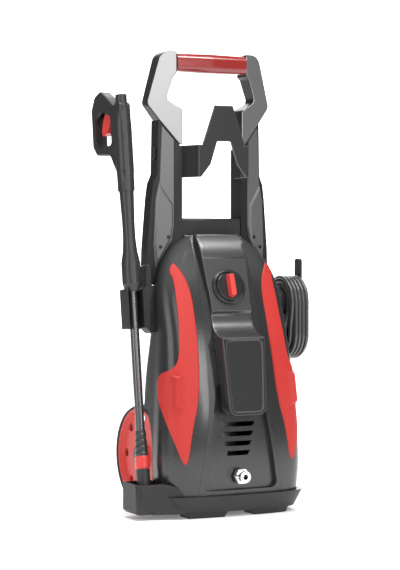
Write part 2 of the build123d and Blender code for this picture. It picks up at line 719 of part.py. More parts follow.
def make_latch():
    """Right latch button, which is pushed in to free the handle."""
    x, y = leg_middle()
    side_slope = (SLEEVE_HALF - SLEEVE_STEP - JOINT_HALF) / (JOINT_HIGH - SLEEVE_Z)
    face_x = JOINT_HALF + (JOINT_HIGH - LATCH_Z) * side_slope
    inner = LEG_OUTER + LATCH_TRAVEL + 2 * GAP
    plan = Pos(y, LATCH_Z) * SlotOverall(LATCH_HEIGHT, LATCH_WIDTH, rotation=90)
    button = along_x(plan, inner, face_x + LATCH_PROUD)
    return fillet(button.faces().sort_by(Axis.X)[-1].edges(), LATCH_ROUND)


def on_slope(points):
    """Points seen from the front, as points of the sloped plane."""
    return [((x - UPRIGHT_INNER) / cos(SLOPE_ANGLE), z) for x, z in points]


def make_fascia():
    """Right grey strip on the front of the upright, thicker below its slanted fold."""
    joint_slope = (JOINT_HIGH - JOINT_LOW) / (JOINT_HALF - UPRIGHT_INNER)
    top = JOINT_LOW - 3 + (FASCIA_INNER - UPRIGHT_INNER) * joint_slope
    outline = [
        (FASCIA_INNER, top),
        (JOINT_HALF - FASCIA_INSET + 2, JOINT_HIGH - 9),
        (SLEEVE_HALF - FASCIA_INSET, SLEEVE_Z),
        (UPRIGHT_HALF_MID - FASCIA_INSET, UPRIGHT_MID_Z),
        (UPRIGHT_HALF_LOW - FASCIA_INSET - 4, UPRIGHT_LOW_Z + 8),
        (UPRIGHT_HALF_LOW - FASCIA_INSET - 8, FASCIA_LOW),
        (FASCIA_INNER + 4, UPRIGHT_LOW_Z + 18),
        (FASCIA_INNER, UPRIGHT_LOW_Z + 44),
    ]
    folded = [
        (FASCIA_INNER + 2, FOLD_INNER),
        (SLEEVE_HALF - FASCIA_INSET, FOLD_OUTER),
        (UPRIGHT_HALF_MID - FASCIA_INSET - 2, UPRIGHT_MID_Z),
        (UPRIGHT_HALF_LOW - FASCIA_INSET - 6, UPRIGHT_LOW_Z + 8),
        (UPRIGHT_HALF_LOW - FASCIA_INSET - 10, FASCIA_LOW + 5),
        (FASCIA_INNER + 6, UPRIGHT_LOW_Z + 20),
        (FASCIA_INNER + 2, UPRIGHT_LOW_Z + 44),
    ]
    strip = extrude(SLOPE_PLANE * loop(*on_slope(outline)), amount=FASCIA_THICK, taper=20)
    pad = extrude(SLOPE_PLANE.offset(FASCIA_THICK) * loop(*on_slope(folded)), amount=FOLD_RISE, taper=50)
    return strip + pad - BODY_AROUND


def make_handle():
    """Handle hoop with its two legs, and the sleeve of the hand grip around its top bar."""
    right = [
        (HANDLE_TOP_HALF, HANDLE_TOP),
        (HANDLE_KNEE_HALF, HANDLE_KNEE_Z),
        (JOINT_HALF, JOINT_HIGH),
        (UPRIGHT_INNER, JOINT_LOW),
        (UPRIGHT_INNER, HANDLE_WAIST_Z),
        (HANDLE_INNER_KNEE, HANDLE_INNER_KNEE_Z),
        (HANDLE_INNER_TOP, HANDLE_TOP - HANDLE_BAR),
    ]
    face = loop(*both(right), radius=HANDLE_CORNERS + HANDLE_CORNERS[::-1])
    front = UPRIGHT_FRONT - FASCIA_THICK
    middle_y, middle_z = (front + HANDLE_BACK) / 2, HANDLE_TOP - HANDLE_BAR / 2
    grip_space = Pos(0, middle_y, middle_z) * Box(2 * HANDGRIP_HALF, 80, HANDLE_BAR + 20)
    limbs = along_y(face, front, HANDLE_BACK) - grip_space - before_slope(front) - flip(before_slope(front))
    rims = limbs.faces().filter_by(lambda side: abs(side.normal_at().Y) > 0.8).edges()
    limbs = fillet(rims, HANDLE_ROUND)
    x, y = leg_middle()
    leg = along_z(Pos(x, y) * RectangleRounded(LEG_WIDTH, LEG_DEPTH, 2), LEG_LOW, JOINT_HIGH)
    neck = rod_x(HANDGRIP_NECK, -HANDGRIP_HALF - 6, HANDGRIP_HALF + 6, middle_y, middle_z)
    hoop = limbs + neck + leg + flip(leg)
    end = RectangleRounded(HANDGRIP_DEPTH, HANDGRIP_HEIGHT, 12)
    waist = RectangleRounded(HANDGRIP_DEPTH + HANDGRIP_SWELL, HANDGRIP_HEIGHT + HANDGRIP_SWELL, 14)
    half = HANDGRIP_HALF - GAP
    at = Pos(middle_y, middle_z)
    sections = [Plane.YZ.offset(place) * at * face for place, face in ((-half, end), (0, waist), (half, end))]
    sleeve = loft(sections, ruled=True)
    grip = sleeve - rod_x(HANDGRIP_NECK + RUN_FIT, -half - 5, half + 5, middle_y, middle_z)
    return hoop, grip


def make_hose_hook():
    """Hat-shaped band that stands forward between the uprights and carries the hose."""
    root = UPRIGHT_INNER
    plan = [(root, HOOK_ROOT_BACK), (root, UPRIGHT_FRONT - FASCIA_THICK), (HOOK_FACE_HALF, HOOK_REACH)]
    inner = [(root - HOOK_THICK, HOOK_ROOT_BACK), (root - HOOK_THICK, UPRIGHT_FRONT - FASCIA_THICK),
             (HOOK_FACE_HALF - HOOK_THICK, HOOK_REACH + HOOK_THICK)]
    band = along_z(loop(*both(plan)), HOOK_LOW, HOOK_CREST)
    band = band - along_z(loop(*both(inner)), HOOK_LOW - 1, HOOK_CREST + 1)
    brim = loop(*both([(root + 1, HOOK_SHOULDER), (root + 1, HOOK_LOW)]))
    crown = loop(*both([(HOOK_CREST_HALF, HOOK_CREST), (HOOK_BASE_HALF, HOOK_SHOULDER - 1)]), radius=4)
    arch = loop(*both([(HOOK_CREST_HALF - 5, HOOK_ARCH), (HOOK_MID_HALF, HOOK_MID),
                       (HOOK_FACE_HALF - HOOK_THICK, HOOK_LOW - 1)]))
    return band & along_y(brim + crown - arch, -REACH, REACH)


def make_cross_bar():
    """Bar that joins the uprights above the dome."""
    section = loop((UPRIGHT_FRONT + BAR_INSET, BAR_LOW), (UPRIGHT_FRONT + BAR_INSET, BAR_HIGH),
                   (UPRIGHT_BACK - BAR_INSET, BAR_HIGH), (UPRIGHT_BACK - BAR_INSET, BAR_LOW), radius=5)
    return along_x(section, -UPRIGHT_INNER, UPRIGHT_INNER) - BODY_AROUND


def make_wheel():
    """Right wheel: tyre, dished hub with round holes, and the cap over the axle end."""
    mid = WHEEL_WIDTH / 2
    face = mid - RIM_INSET
    dish = face - RIM_DISH
    crown = WHEEL_RADIUS
    bore = AXLE_RADIUS + RUN_FIT
    tyre = turned([(HUB_RIM, -face), (HUB_RIM, face), (crown - TYRE_ROUND, mid),
                   (crown - 2, mid - TYRE_ROUND), (crown, 0), (crown - 2, -mid + TYRE_ROUND),
                   (crown - TYRE_ROUND, -mid)])
    hub = turned([(bore, -mid + 2), (HUB_RADIUS - 6, -mid + 2), (HUB_RADIUS - 2, 0), (HUB_RIM - 9, 0),
                  (HUB_RIM - 5, -face), (HUB_RIM, -face), (HUB_RIM, face), (HUB_RIM - 4, face),
                  (HUB_RIM - 8, dish), (HUB_RADIUS + 4, dish), (HUB_RADIUS, face), (bore, face)])
    holes = PolarLocations(SPOKE_RING, SPOKE_COUNT) * Cylinder(SPOKE_HOLE, 2 * WHEEL_WIDTH)
    for hole in holes:
        hub = hub - hole
    seat = face + GAP
    cap = turned([(0, seat), (CAP_RADIUS, seat), (CAP_RADIUS, mid), (CAP_RADIUS - 4, face + CAP_HEIGHT),
                  (0, face + CAP_HEIGHT + 1)])
    frame = Pos(WHEEL_OUTER - mid, WHEEL_Y, WHEEL_Z) * Rot(0, 90, 0)
    return frame * tyre, frame * hub, frame * cap


def make_lance():
    """Straight parts of the lance, from the nozzle up to the gun."""
    tip = turned([(TIP_BORE, TIP_START), (TIP_END_RADIUS, TIP_START), (TIP_RADIUS, TIP_START + 14),
                  (TIP_RADIUS, TIP_END), (TIP_BORE, TIP_END)])
    ring = turned([(0, RING_START), (RING_RADIUS - 1, RING_START), (RING_RADIUS, RING_START + 2),
                   (RING_RADIUS, RING_END - 2), (RING_RADIUS - 1, RING_END), (0, RING_END)])
    start = RING_END + GAP
    pitch = (NOZZLE_END - start) / NOZZLE_RIBS
    root = TIP_RADIUS - 1
    wall = [(0, start), (root, start)]
    for rib in range(NOZZLE_RIBS):
        radius = root - (root - NOZZLE_NECK) * (rib + 1) / NOZZLE_RIBS
        low = start + rib * pitch
        wall.append((radius + NOZZLE_RIB, low + 0.4 * pitch))
        wall.append((radius, low + 0.6 * pitch))
        wall.append((radius, low + 0.95 * pitch))
    nozzle = turned(wall + [(NOZZLE_NECK, NOZZLE_END), (0, NOZZLE_END)])
    tube = turned([(0, NOZZLE_END), (TUBE_RADIUS, NOZZLE_END), (TUBE_RADIUS, COLLAR_END), (0, COLLAR_END)])
    bore = TUBE_RADIUS + RUN_FIT
    collar = turned([(bore, COLLAR_START), (COLLAR_RADIUS - 5, COLLAR_START),
                     (COLLAR_RADIUS, COLLAR_START + 14), (COLLAR_RADIUS, COLLAR_END - 22),
                     (EXTENSION_RADIUS, COLLAR_END), (bore, COLLAR_END)])
    waist = (COLLAR_END + GUN_START) / 2
    extension = turned([(0, COLLAR_END), (EXTENSION_RADIUS, COLLAR_END), (EXTENSION_WAIST, COLLAR_END + 24),
                        (EXTENSION_WAIST, waist), (EXTENSION_RADIUS, GUN_START), (0, GUN_START)])
    return [LANCE_FRAME * piece for piece in (tip, ring, nozzle, tube, collar, extension)]


def gun_outline():
    """Outline of the gun in (distance behind the lance axis, distance along it), with its guard loop."""
    top = GUN_TOP
    outer = loop((-13, GUN_START), (-13, top), (14, top), (36, top + 18), (58, top + 34), (80, top + 26),
                 (94, top + 2), (95, top - 70), (82, top - 88), (34, top - 96), (14, top - 132),
                 (14, GUN_START), radius=[3, 6, 5, 8, 10, 12, 16, 12, 10, 12, 20, 3])
    hole = loop((24, top - 20), (60, top - 6), (78, top - 18), (80, top - 66), (70, top - 78), (24, top - 76),
                radius=7)
    return outer, hole


def make_trigger():
    """Trigger lever and its pin, in the gun's own frame."""
    top = GUN_TOP
    face = loop((28, top - 6), (44, top - 6), (58, top - 22), (66, top - 44), (62, top - 54), (46, top - 50),
                (34, top - 34), (27, top - 20), radius=3)
    lever = along_x(face, -TRIGGER_THICK / 2, TRIGGER_THICK / 2)
    lever = lever - rod_x(TRIGGER_PIN + RUN_FIT, -TRIGGER_THICK, TRIGGER_THICK, *TRIGGER_PIVOT)
    pin = rod_x(TRIGGER_PIN, -GUN_THICK / 2 + 1, GUN_THICK / 2 - 1, *TRIGGER_PIVOT)
    return lever, pin


def make_gun():
    """Gun in two half shells around its valve, with the trigger in the guard loop."""
    top = GUN_TOP
    half = GUN_THICK / 2
    outer, hole = gun_outline()
    body = along_x(outer, -half, half)
    sides = body.faces().sort_by(Axis.X)
    body = fillet(sides[0].edges() + sides[-1].edges(), GUN_ROUND)
    barrel = turned([(0, GUN_START), (EXTENSION_RADIUS + 1, GUN_START), (BARREL_RADIUS, GUN_START + 40),
                     (BARREL_RADIUS, top - 40), (BARREL_RADIUS - 4, top), (0, top)])
    body = body + barrel - along_x(hole, -GUN_THICK, GUN_THICK)
    bore = Pos(0, 0, top) * Cylinder(VALVE_RADIUS, 2 * (top - GUN_START) + 2)
    slot_half = TRIGGER_THICK / 2 + GAP
    slot_face = loop((20, top - 26), (18, top + 4), (62, top + 8), (82, top - 6), (82, top - 30))
    lever, pin = make_trigger()
    body = body - bore - along_x(slot_face, -slot_half, slot_half) - pin
    left_space = Pos(-REACH, 0, top) * Box(2 * REACH, 2 * REACH, 2 * REACH)
    valve = turned([(0, GUN_START), (VALVE_RADIUS, GUN_START), (VALVE_RADIUS, top), (HOSE_NOSE_RADIUS, top),
                    (HOSE_NOSE_RADIUS, top + HOSE_NOSE_LENGTH), (HOSE_BORE, top + HOSE_NOSE_LENGTH),
                    (HOSE_BORE, top - 20), (0, top - 20)])
    pieces = (body & left_space, body - left_space, valve, lever, pin)
    return [GUN_FRAME * piece for piece in pieces]


def make_clip():
    """Open channel beside the body that the lance is pushed into, with its arm to the shell."""
    outer = CLIP_INNER + CLIP_WALL
    floor_y = CLIP_BACK - CLIP_WALL
    channel = loop((-outer, CLIP_FRONT), (-outer, CLIP_BACK), (outer, CLIP_BACK), (outer, CLIP_FRONT),
                   (CLIP_INNER, CLIP_FRONT), (CLIP_INNER, floor_y), (-CLIP_INNER, floor_y),
                   (-CLIP_INNER, CLIP_FRONT), radius=[2, 6, 6, 2, 1, 3, 3, 1])
    clip = along_z(channel, CLIP_LOW, CLIP_HIGH)
    beside_upright = -UPRIGHT_HALF_LOW - 2 - CLIP_GAP - LANCE_X
    inner_end = beside_upright + CLIP_FOOT
    arm_face = loop((outer - 2, CLIP_LOW + 6), (outer - 2, CLIP_HIGH - 8), (outer + 8, CLIP_HIGH + 6),
                    (outer + 10, CLIP_LUG), (beside_upright, CLIP_LUG), (beside_upright, CLIP_HIGH + 6),
                    (inner_end, CLIP_HIGH + 2), (inner_end, CLIP_LOW - 10), (outer + 12, CLIP_LOW - 8),
                    radius=3)
    arm = along_y(arm_face, -6, CLIP_BACK)
    return LANCE_FRAME * (clip + arm) - BODY_AROUND


def make_couplings():
    """Water outlet with its hexagon at the front and water inlet with its collar at the back."""
    at = Pos(0, OUTLET_Z)
    hexagon = RegularPolygon(HEX_SIZE / 2, 6, major_radius=False)
    hexagon = along_y(at * hexagon, OUTLET_SEAT - HEX_DEPTH, OUTLET_SEAT)
    outlet = hexagon + along_y(at * Circle(NOSE_RADIUS), OUTLET_END, MOTOR_Y - PUMP_RADIUS)
    outlet = outlet - along_y(at * Circle(OUTLET_BORE), OUTLET_END - 1, OUTLET_END + BORE_DEPTH)
    collar = along_y(at * Circle(INLET_COLLAR), INLET_SEAT, INLET_SEAT + COLLAR_THICK)
    inlet = collar + along_y(at * Circle(INLET_RADIUS), MOTOR_Y + PUMP_RADIUS, INLET_END)
    inlet = inlet - along_y(at * Circle(INLET_BORE), INLET_END - BORE_DEPTH, INLET_END + 1)
    return outlet, inlet


def make_drive():
    """Motor, its turning shaft with the fan, and the pump below."""
    at = Pos(0, MOTOR_Y, 0)
    bore = SHAFT_RADIUS + RUN_FIT
    wall = [(bore, MOTOR_LOW), (MOTOR_RADIUS, MOTOR_LOW)]
    pitch = (MOTOR_HIGH - MOTOR_LOW) / (MOTOR_GROOVES + 1)
    floor_radius = MOTOR_RADIUS - MOTOR_GROOVE
    for groove in range(1, MOTOR_GROOVES + 1):
        middle = MOTOR_LOW + groove * pitch
        wall += [(MOTOR_RADIUS, middle - 4), (floor_radius, middle - 3), (floor_radius, middle + 3),
                 (MOTOR_RADIUS, middle + 4)]
    wall += [(MOTOR_RADIUS, MOTOR_HIGH - 8), (MOTOR_RADIUS - 8, MOTOR_HIGH), (bore, MOTOR_HIGH)]
    motor = turned(wall, at)
    fan_low = MOTOR_HIGH + 3
    fan_high = fan_low + FAN_HEIGHT
    shaft_low = MOTOR_LOW - SHAFT_STUB
    shaft_high = fan_high + 6
    shaft = Pos(0, MOTOR_Y, (shaft_low + shaft_high) / 2) * Cylinder(SHAFT_RADIUS, shaft_high - shaft_low)
    boss = SHAFT_RADIUS + FAN_BOSS
    fan = turned([(bore, fan_low), (FAN_RADIUS, fan_low), (FAN_RADIUS, fan_low + 2), (boss, fan_low + 2),
                  (boss, fan_high), (bore, fan_high)])
    reach = FAN_RADIUS - boss
    blade = Pos(boss - 2 + reach / 2, 0, (fan_low + fan_high) / 2) * Box(reach, 2, FAN_HEIGHT)
    for number in range(FAN_BLADES):
        fan = fan + Rot(0, 0, number * 360 / FAN_BLADES) * blade
    top = MOTOR_LOW
    pump = turned([(0, PUMP_LOW), (PUMP_RADIUS - 8, PUMP_LOW), (PUMP_RADIUS, PUMP_LOW + 8),
                   (PUMP_RADIUS, top - 40), (MOTOR_RADIUS, top - PUMP_FLANGE), (MOTOR_RADIUS, top),
                   (bore, top), (bore, shaft_low - GAP), (0, shaft_low - GAP)], at)
    port = along_y(Pos(0, OUTLET_Z) * Circle(NOSE_RADIUS), -REACH, MOTOR_Y - PUMP_RADIUS + 8)
    return motor, shaft, at * fan, pump - port


def stadium(radius):
    """Long round outline of the wound cord seen from the side."""
    length = COIL_HIGH - COIL_LOW + 2 * radius
    return Pos(COIL_Y, (COIL_LOW + COIL_HIGH) / 2) * SlotOverall(length, 2 * radius, rotation=90)


def make_cord_hooks():
    """Bracket with the fixed lower hook, and the upper hook that turns down to free the cord."""
    plate_face = RectangleRounded(2 * BRACKET_HALF, BRACKET_HIGH - BRACKET_LOW, BRACKET_CORNER)
    plate = along_x(Pos(COIL_Y, (BRACKET_LOW + BRACKET_HIGH) / 2) * plate_face, BRACKET_ROOT, BRACKET_FACE)
    peg_end = COIL_OUTER_X + GAP
    lower_peg = rod_x(PEG_RADIUS, BRACKET_FACE - 1, peg_end + 1, COIL_Y, COIL_LOW)
    tab_face = RectangleRounded(TAB_WIDTH, TAB_LOW_TOP - TAB_LOW, TAB_CORNER)
    lower_tab = along_x(Pos(COIL_Y, (TAB_LOW + TAB_LOW_TOP) / 2) * tab_face, peg_end, peg_end + TAB_THICK)
    socket = rod_x(SPINDLE + RUN_FIT, BRACKET_FACE - SPINDLE_LENGTH - 2, BRACKET_FACE + 1, COIL_Y, COIL_HIGH)
    bracket = plate + lower_peg + lower_tab - socket - BODY_AROUND
    upper_end = peg_end + 1 + GAP
    upper = rod_x(PEG_RADIUS, BRACKET_FACE + GAP, upper_end + 1, COIL_Y, COIL_HIGH)
    upper = upper + rod_x(SPINDLE, BRACKET_FACE - SPINDLE_LENGTH, BRACKET_FACE + 1, COIL_Y, COIL_HIGH)
    tab_face = RectangleRounded(TAB_WIDTH, TAB_TOP - COIL_HIGH, TAB_CORNER)
    upper_tab = Pos(COIL_Y, (TAB_TOP + COIL_HIGH) / 2) * tab_face
    upper = upper + along_x(upper_tab, upper_end, upper_end + TAB_THICK)
    return bracket, upper


def gland_frame():
    """Place where the cord leaves the shell; its Z axis points out and up along the cord."""
    return Pos(GLAND_X, INNER_STRAND_Y, GLAND_Z) * Rot(0, 45, 0)


def bend_radii(points):
    """Radius of each corner of a cord run, from the shorter neighbour and the turn."""
    radii = []
    for before, corner, after in zip(points, points[1:], points[2:]):
        into = Vector(*corner) - Vector(*before)
        out = Vector(*after) - Vector(*corner)
        half_turn = radians(into.get_angle(out)) / 2
        radii.append(0.45 * min(into.length, out.length) / tan(half_turn))
    return radii


def tube_along(points):
    """Round cord along straight runs joined by arcs."""
    route = FilletPolyline(*points, radius=bend_radii(points))
    start = Plane(origin=route @ 0, z_dir=route % 0)
    return sweep(start * Circle(CORD_DIAMETER / 2), path=route)


def make_cord():
    """Wound cord, its gland, the run from the gland, the run to the plug and the plug with its pins."""
    coil = along_x(stadium(COIL_RADIUS) - stadium(COIL_BORE), COIL_INNER_X, COIL_OUTER_X)
    frame = gland_frame()
    gland = turned([(0, -10), (GLAND_RADIUS - 2, -10), (GLAND_RADIUS, 4), (GLAND_RADIUS, 8),
                    (CORD_DIAMETER / 2 + 1.5, GLAND_LENGTH), (0, GLAND_LENGTH)], frame)
    mouth = (frame * Pos(0, 0, GLAND_LENGTH)).position
    beside = COIL_INNER_X - CORD_DIAMETER / 2 - CORD_SIDE_GAP
    turn_z = mouth.Z + beside - mouth.X
    tail = tube_along([(mouth.X, INNER_STRAND_Y, mouth.Z), (beside, INNER_STRAND_Y, turn_z),
                       (beside, INNER_STRAND_Y, COIL_LOW + TAIL_ENTRY),
                       (FIRST_STRAND_X, INNER_STRAND_Y, COIL_LOW + TAIL_JOIN)])
    lead = tube_along([(LAST_STRAND_X, OUTER_STRAND_Y, COIL_HIGH),
                       (LAST_STRAND_X, OUTER_STRAND_Y + LEAD_STEP, COIL_HIGH - LEAD_DROP),
                       (PLUG_X, PLUG_Y, COIL_HIGH - 2 * LEAD_DROP), (PLUG_X, PLUG_Y, PLUG_HIGH)])
    wide = RectangleRounded(2 * PLUG_HALF_WIDTH, 2 * PLUG_HALF_DEPTH, 8)
    narrow = RectangleRounded(CORD_DIAMETER + 8, CORD_DIAMETER + 6, 5)
    neck_low = PLUG_LOW + PLUG_STRAIGHT
    body = along_z(wide, PLUG_LOW, neck_low)
    body = body + loft([Plane.XY.offset(neck_low) * wide, Plane.XY.offset(PLUG_HIGH) * narrow])
    for side in (-1, 1):
        pin = Pos(side * PIN_SPACING / 2, 0) * Circle(PIN_RADIUS)
        body = body + along_z(pin, PLUG_LOW - PIN_LENGTH, PLUG_LOW + 2)
    return coil, gland, tail - coil, lead - coil, Pos(PLUG_X, PLUG_Y, 0) * body


def make_parts():
    """All pieces of the machine by name, in the modelling frame."""
    pieces = {}
    pieces["base_tray"] = make_base()
    pieces["lance_pocket"] = make_pocket()
    pieces["front_cover"] = make_front_cover()
    pieces["rear_housing"] = make_rear_housing()
    pieces["side_panel_left"] = make_side_panel()
    pieces["side_panel_right"] = flip(pieces["side_panel_left"])
    pieces["console_panel"] = make_console()
    pieces["switch_bezel"], pieces["switch_knob"], pieces["knob_grip"], pieces["switch_box"] = make_switch()
    pieces["upright_right"] = make_upright()
    pieces["upright_left"] = flip(pieces["upright_right"])
    pieces["fascia_right"] = make_fascia()
    pieces["fascia_left"] = flip(pieces["fascia_right"])
    pieces["latch_button_right"] = make_latch()
    pieces["latch_button_left"] = flip(pieces["latch_button_right"])
    pieces["handle_hoop"], pieces["hand_grip"] = make_handle()
    pieces["hose_hook"] = make_hose_hook()
    pieces["cross_bar"] = make_cross_bar()
    pieces["axle"] = rod_x(AXLE_RADIUS, -WHEEL_OUTER + AXLE_END, WHEEL_OUTER - AXLE_END, WHEEL_Y, WHEEL_Z)
    pieces["tyre_right"], pieces["hub_right"], pieces["hub_cap_right"] = make_wheel()
    for name in ("tyre", "hub", "hub_cap"):
        pieces[name + "_left"] = flip(pieces[name + "_right"])
    lance = make_lance()
    names = ("nozzle_tip", "nozzle_ring", "nozzle_body", "lance_tube", "lance_collar", "lance_extension")
    pieces.update(zip(names, lance))
    names = ("gun_shell_left", "gun_shell_right", "gun_valve", "trigger", "trigger_pin")
    pieces.update(zip(names, make_gun()))
    pieces["lance_clip"] = make_clip()
    pieces["outlet_coupling"], pieces["inlet_coupling"] = make_couplings()
    pieces["motor_body"], pieces["motor_shaft"], pieces["motor_fan"], pieces["pump_body"] = make_drive()
    pieces["cord_bracket"], pieces["cord_hook"] = make_cord_hooks()
    names = ("cord_coil", "cord_gland", "cord_tail", "cord_lead", "cord_plug")
    pieces.update(zip(names, make_cord()))
    return pieces


CORD_NODES = ("cord_coil", "cord_tail", "cord_lead", "cord_plug")


def centring(pieces):
    """Move that puts the origin under the middle of all pieces except the cord."""
    boxes = [piece.bounding_box() for name, piece in pieces.items() if name not in CORD_NODES]
    middle_x = (min(box.min.X for box in boxes) + max(box.max.X for box in boxes)) / 2
    middle_y = (min(box.min.Y for box in boxes) + max(box.max.Y for box in boxes)) / 2
    return Pos(-middle_x, -middle_y, 0)


def main():
    """Build every piece and write one file for each."""
    pieces = make_parts()
    move = centring(pieces)
    os.makedirs("parts", exist_ok=True)
    for name, piece in pieces.items():
        export_step(move * piece, os.path.join("parts", name + ".step"))


if __name__ == "__main__":
    main()
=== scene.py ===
import logging
import math
from dataclasses import dataclass
from enum import Enum
from typing import Callable, Iterable, Sequence

import bpy
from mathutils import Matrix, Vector


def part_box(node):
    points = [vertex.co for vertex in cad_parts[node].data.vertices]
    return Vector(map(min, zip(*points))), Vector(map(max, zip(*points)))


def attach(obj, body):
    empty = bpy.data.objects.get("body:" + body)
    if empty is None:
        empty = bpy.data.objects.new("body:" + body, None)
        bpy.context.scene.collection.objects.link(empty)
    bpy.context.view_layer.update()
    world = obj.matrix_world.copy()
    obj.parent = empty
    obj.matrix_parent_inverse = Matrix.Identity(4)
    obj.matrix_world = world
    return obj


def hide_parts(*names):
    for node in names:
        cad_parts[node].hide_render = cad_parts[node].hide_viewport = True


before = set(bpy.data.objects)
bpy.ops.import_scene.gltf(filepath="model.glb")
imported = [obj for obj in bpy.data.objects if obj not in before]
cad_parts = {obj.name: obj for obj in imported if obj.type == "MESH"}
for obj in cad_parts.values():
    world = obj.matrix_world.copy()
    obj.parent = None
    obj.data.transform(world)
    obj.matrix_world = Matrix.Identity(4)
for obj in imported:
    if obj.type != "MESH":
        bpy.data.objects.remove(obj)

# Looks of an upright pressure washer. Lengths are in metres, in the frame of the CAD model.

logging.basicConfig(level=logging.INFO, format="%(message)s")
log = logging.getLogger("washer")

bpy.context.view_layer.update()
MM = 0.001
Colour = tuple[float, float, float]
Point = tuple[float, float, float]
Pixel = tuple[float, float]

# Depth of the axle in the modelling frame, in millimetres.
AXLE_Y = 50.0

# A face whose normal points further to the front than this is a front face.
FRONT_NORMAL_Y = -0.9

# Corners of a CAD node that are this close, in millimetres, are joined before its edges are rounded.
WELD_REACH = 0.01

# What all finishes share: mottling and the roughness it takes away or adds, dust, and height of the grain.
MOTTLE_SCALE = 9.0
LEAST_ROUGHNESS = 0.02
ROUGHNESS_LESS = 0.02
ROUGHNESS_MORE = 0.03
DUST_COLOUR = (0.36, 0.34, 0.31)
DUST_HEIGHT = 0.3
GRAIN_HEIGHT = 0.0004


class Side(Enum):
    """Sides of the machine as someone sees it from the front, each with its word in the names of pieces."""

    LEFT = "left"
    RIGHT = "right"


class Surface(Enum):
    """Kinds of surface, with the weight of the clear coat on each."""

    MATT = 0.0
    SATIN = 0.1
    GLOSS = 0.45
    # Next to no coat, but not the number of MATT, which would make the two one kind.
    METAL = 0.0001


@dataclass(frozen=True)
class Layout:
    """Positions of the modelling frame inside the model's own frame."""

    shift: Vector

    @classmethod
    def measured(cls) -> "Layout":
        """Find the shift from the axle, whose place in the modelling frame is known.

        Returns:
            The layout of this model.
        """
        low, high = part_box("axle")
        middle = (low + high) / 2
        return cls(Vector((middle.x, middle.y - AXLE_Y * MM, 0)))

    def at(self, x: float, y: float, z: float) -> Vector:
        """Turn a point of the modelling frame, in millimetres, into metres of the model's frame."""
        return Vector((x, y, z)) * MM + self.shift

    def mirrored(self, point: Vector) -> Vector:
        """Carry a point of the model's frame over to the other side of the machine."""
        return Vector((2 * self.shift.x - point.x, point.y, point.z))


LAYOUT = Layout.measured()


def link(tree: bpy.types.NodeTree, start: bpy.types.NodeSocket, end: bpy.types.NodeSocket) -> None:
    """Join an output socket to an input socket of the same node tree."""
    tree.links.new(start, end)


def empty_group(name: str, kind: str, inputs: dict[str, str], outputs: dict[str, str]) -> bpy.types.NodeTree:
    """Make a node group that has only its sockets.

    Args:
        name: Name of the group.
        kind: Kind of node tree.
        inputs: Names of the input sockets, each with its data type.
        outputs: Names of the output sockets, each with its data type.

    Returns:
        The new node group.
    """
    group = bpy.data.node_groups.new(name, kind)
    for sockets, way in ((inputs, "INPUT"), (outputs, "OUTPUT")):
        for socket, data in sockets.items():
            group.interface.new_socket(socket, in_out=way, socket_type="NodeSocket" + data)
    return group


class ShaderGroup:
    """Shader node group that all finishes share."""

    name: str
    inputs: dict[str, str]
    outputs: dict[str, str]

    @classmethod
    def get(cls) -> bpy.types.NodeTree:
        """Return the group, and make it on first use.

        Returns:
            The filled shader node group.
        """
        group = bpy.data.node_groups.get(cls.name)
        if not group:
            group = empty_group(cls.name, "ShaderNodeTree", cls.inputs, cls.outputs)
            source = group.nodes.new("NodeGroupInput")
            result = group.nodes.new("NodeGroupOutput")
            cls.fill(group, source, result)
        return group

    @classmethod
    def fill(cls, group: bpy.types.NodeTree, source: bpy.types.Node, result: bpy.types.Node) -> None:
        """Put a kind's own nodes between the input and the output of its group.

        Args:
            group: Group with nothing but its input and its output.
            source: Node with the group's inputs.
            result: Node with the group's outputs.
        """
        raise NotImplementedError

    @classmethod
    def use(cls, tree: bpy.types.NodeTree, place: bpy.types.Node, values: dict[str, float]) -> bpy.types.Node:
        """Put the group into a material.

        Args:
            tree: Node tree of the material.
            place: Node with the object coordinates.
            values: Numbers for the group's inputs.

        Returns:
            The node that stands for the group.
        """
        node = tree.nodes.new("ShaderNodeGroup")
        node.node_tree = cls.get()
        for socket, value in values.items():
            node.inputs[socket].default_value = value
        link(tree, place.outputs["Object"], node.inputs["Vector"])
        return node


class GrainGroup(ShaderGroup):
    """Shader group for the fine mould texture and the faint mottling of a surface."""

    name = "surface grain"
    inputs = {"Vector": "Vector", "Grain Scale": "Float", "Mottle Scale": "Float"}
    outputs = {"Height": "Float", "Mottle": "Float"}
    fine_detail = 3.0
    broad_detail = 4.0
    broad_roughness = 0.6

    @classmethod
    def fill(cls, group: bpy.types.NodeTree, source: bpy.types.Node, result: bpy.types.Node) -> None:
        """Make a fine noise for the height and a broad one for the mottling.

        Args:
            group: Group with nothing but its input and its output.
            source: Node with the group's inputs.
            result: Node with the group's outputs.
        """
        fine = group.nodes.new("ShaderNodeTexNoise")
        fine.inputs["Detail"].default_value = cls.fine_detail
        broad = group.nodes.new("ShaderNodeTexNoise")
        broad.inputs["Detail"].default_value = cls.broad_detail
        broad.inputs["Roughness"].default_value = cls.broad_roughness
        link(group, source.outputs["Vector"], fine.inputs["Vector"])
        link(group, source.outputs["Vector"], broad.inputs["Vector"])
        link(group, source.outputs["Grain Scale"], fine.inputs["Scale"])
        link(group, source.outputs["Mottle Scale"], broad.inputs["Scale"])
        link(group, fine.outputs["Fac"], result.inputs["Height"])
        link(group, broad.outputs["Fac"], result.inputs["Mottle"])


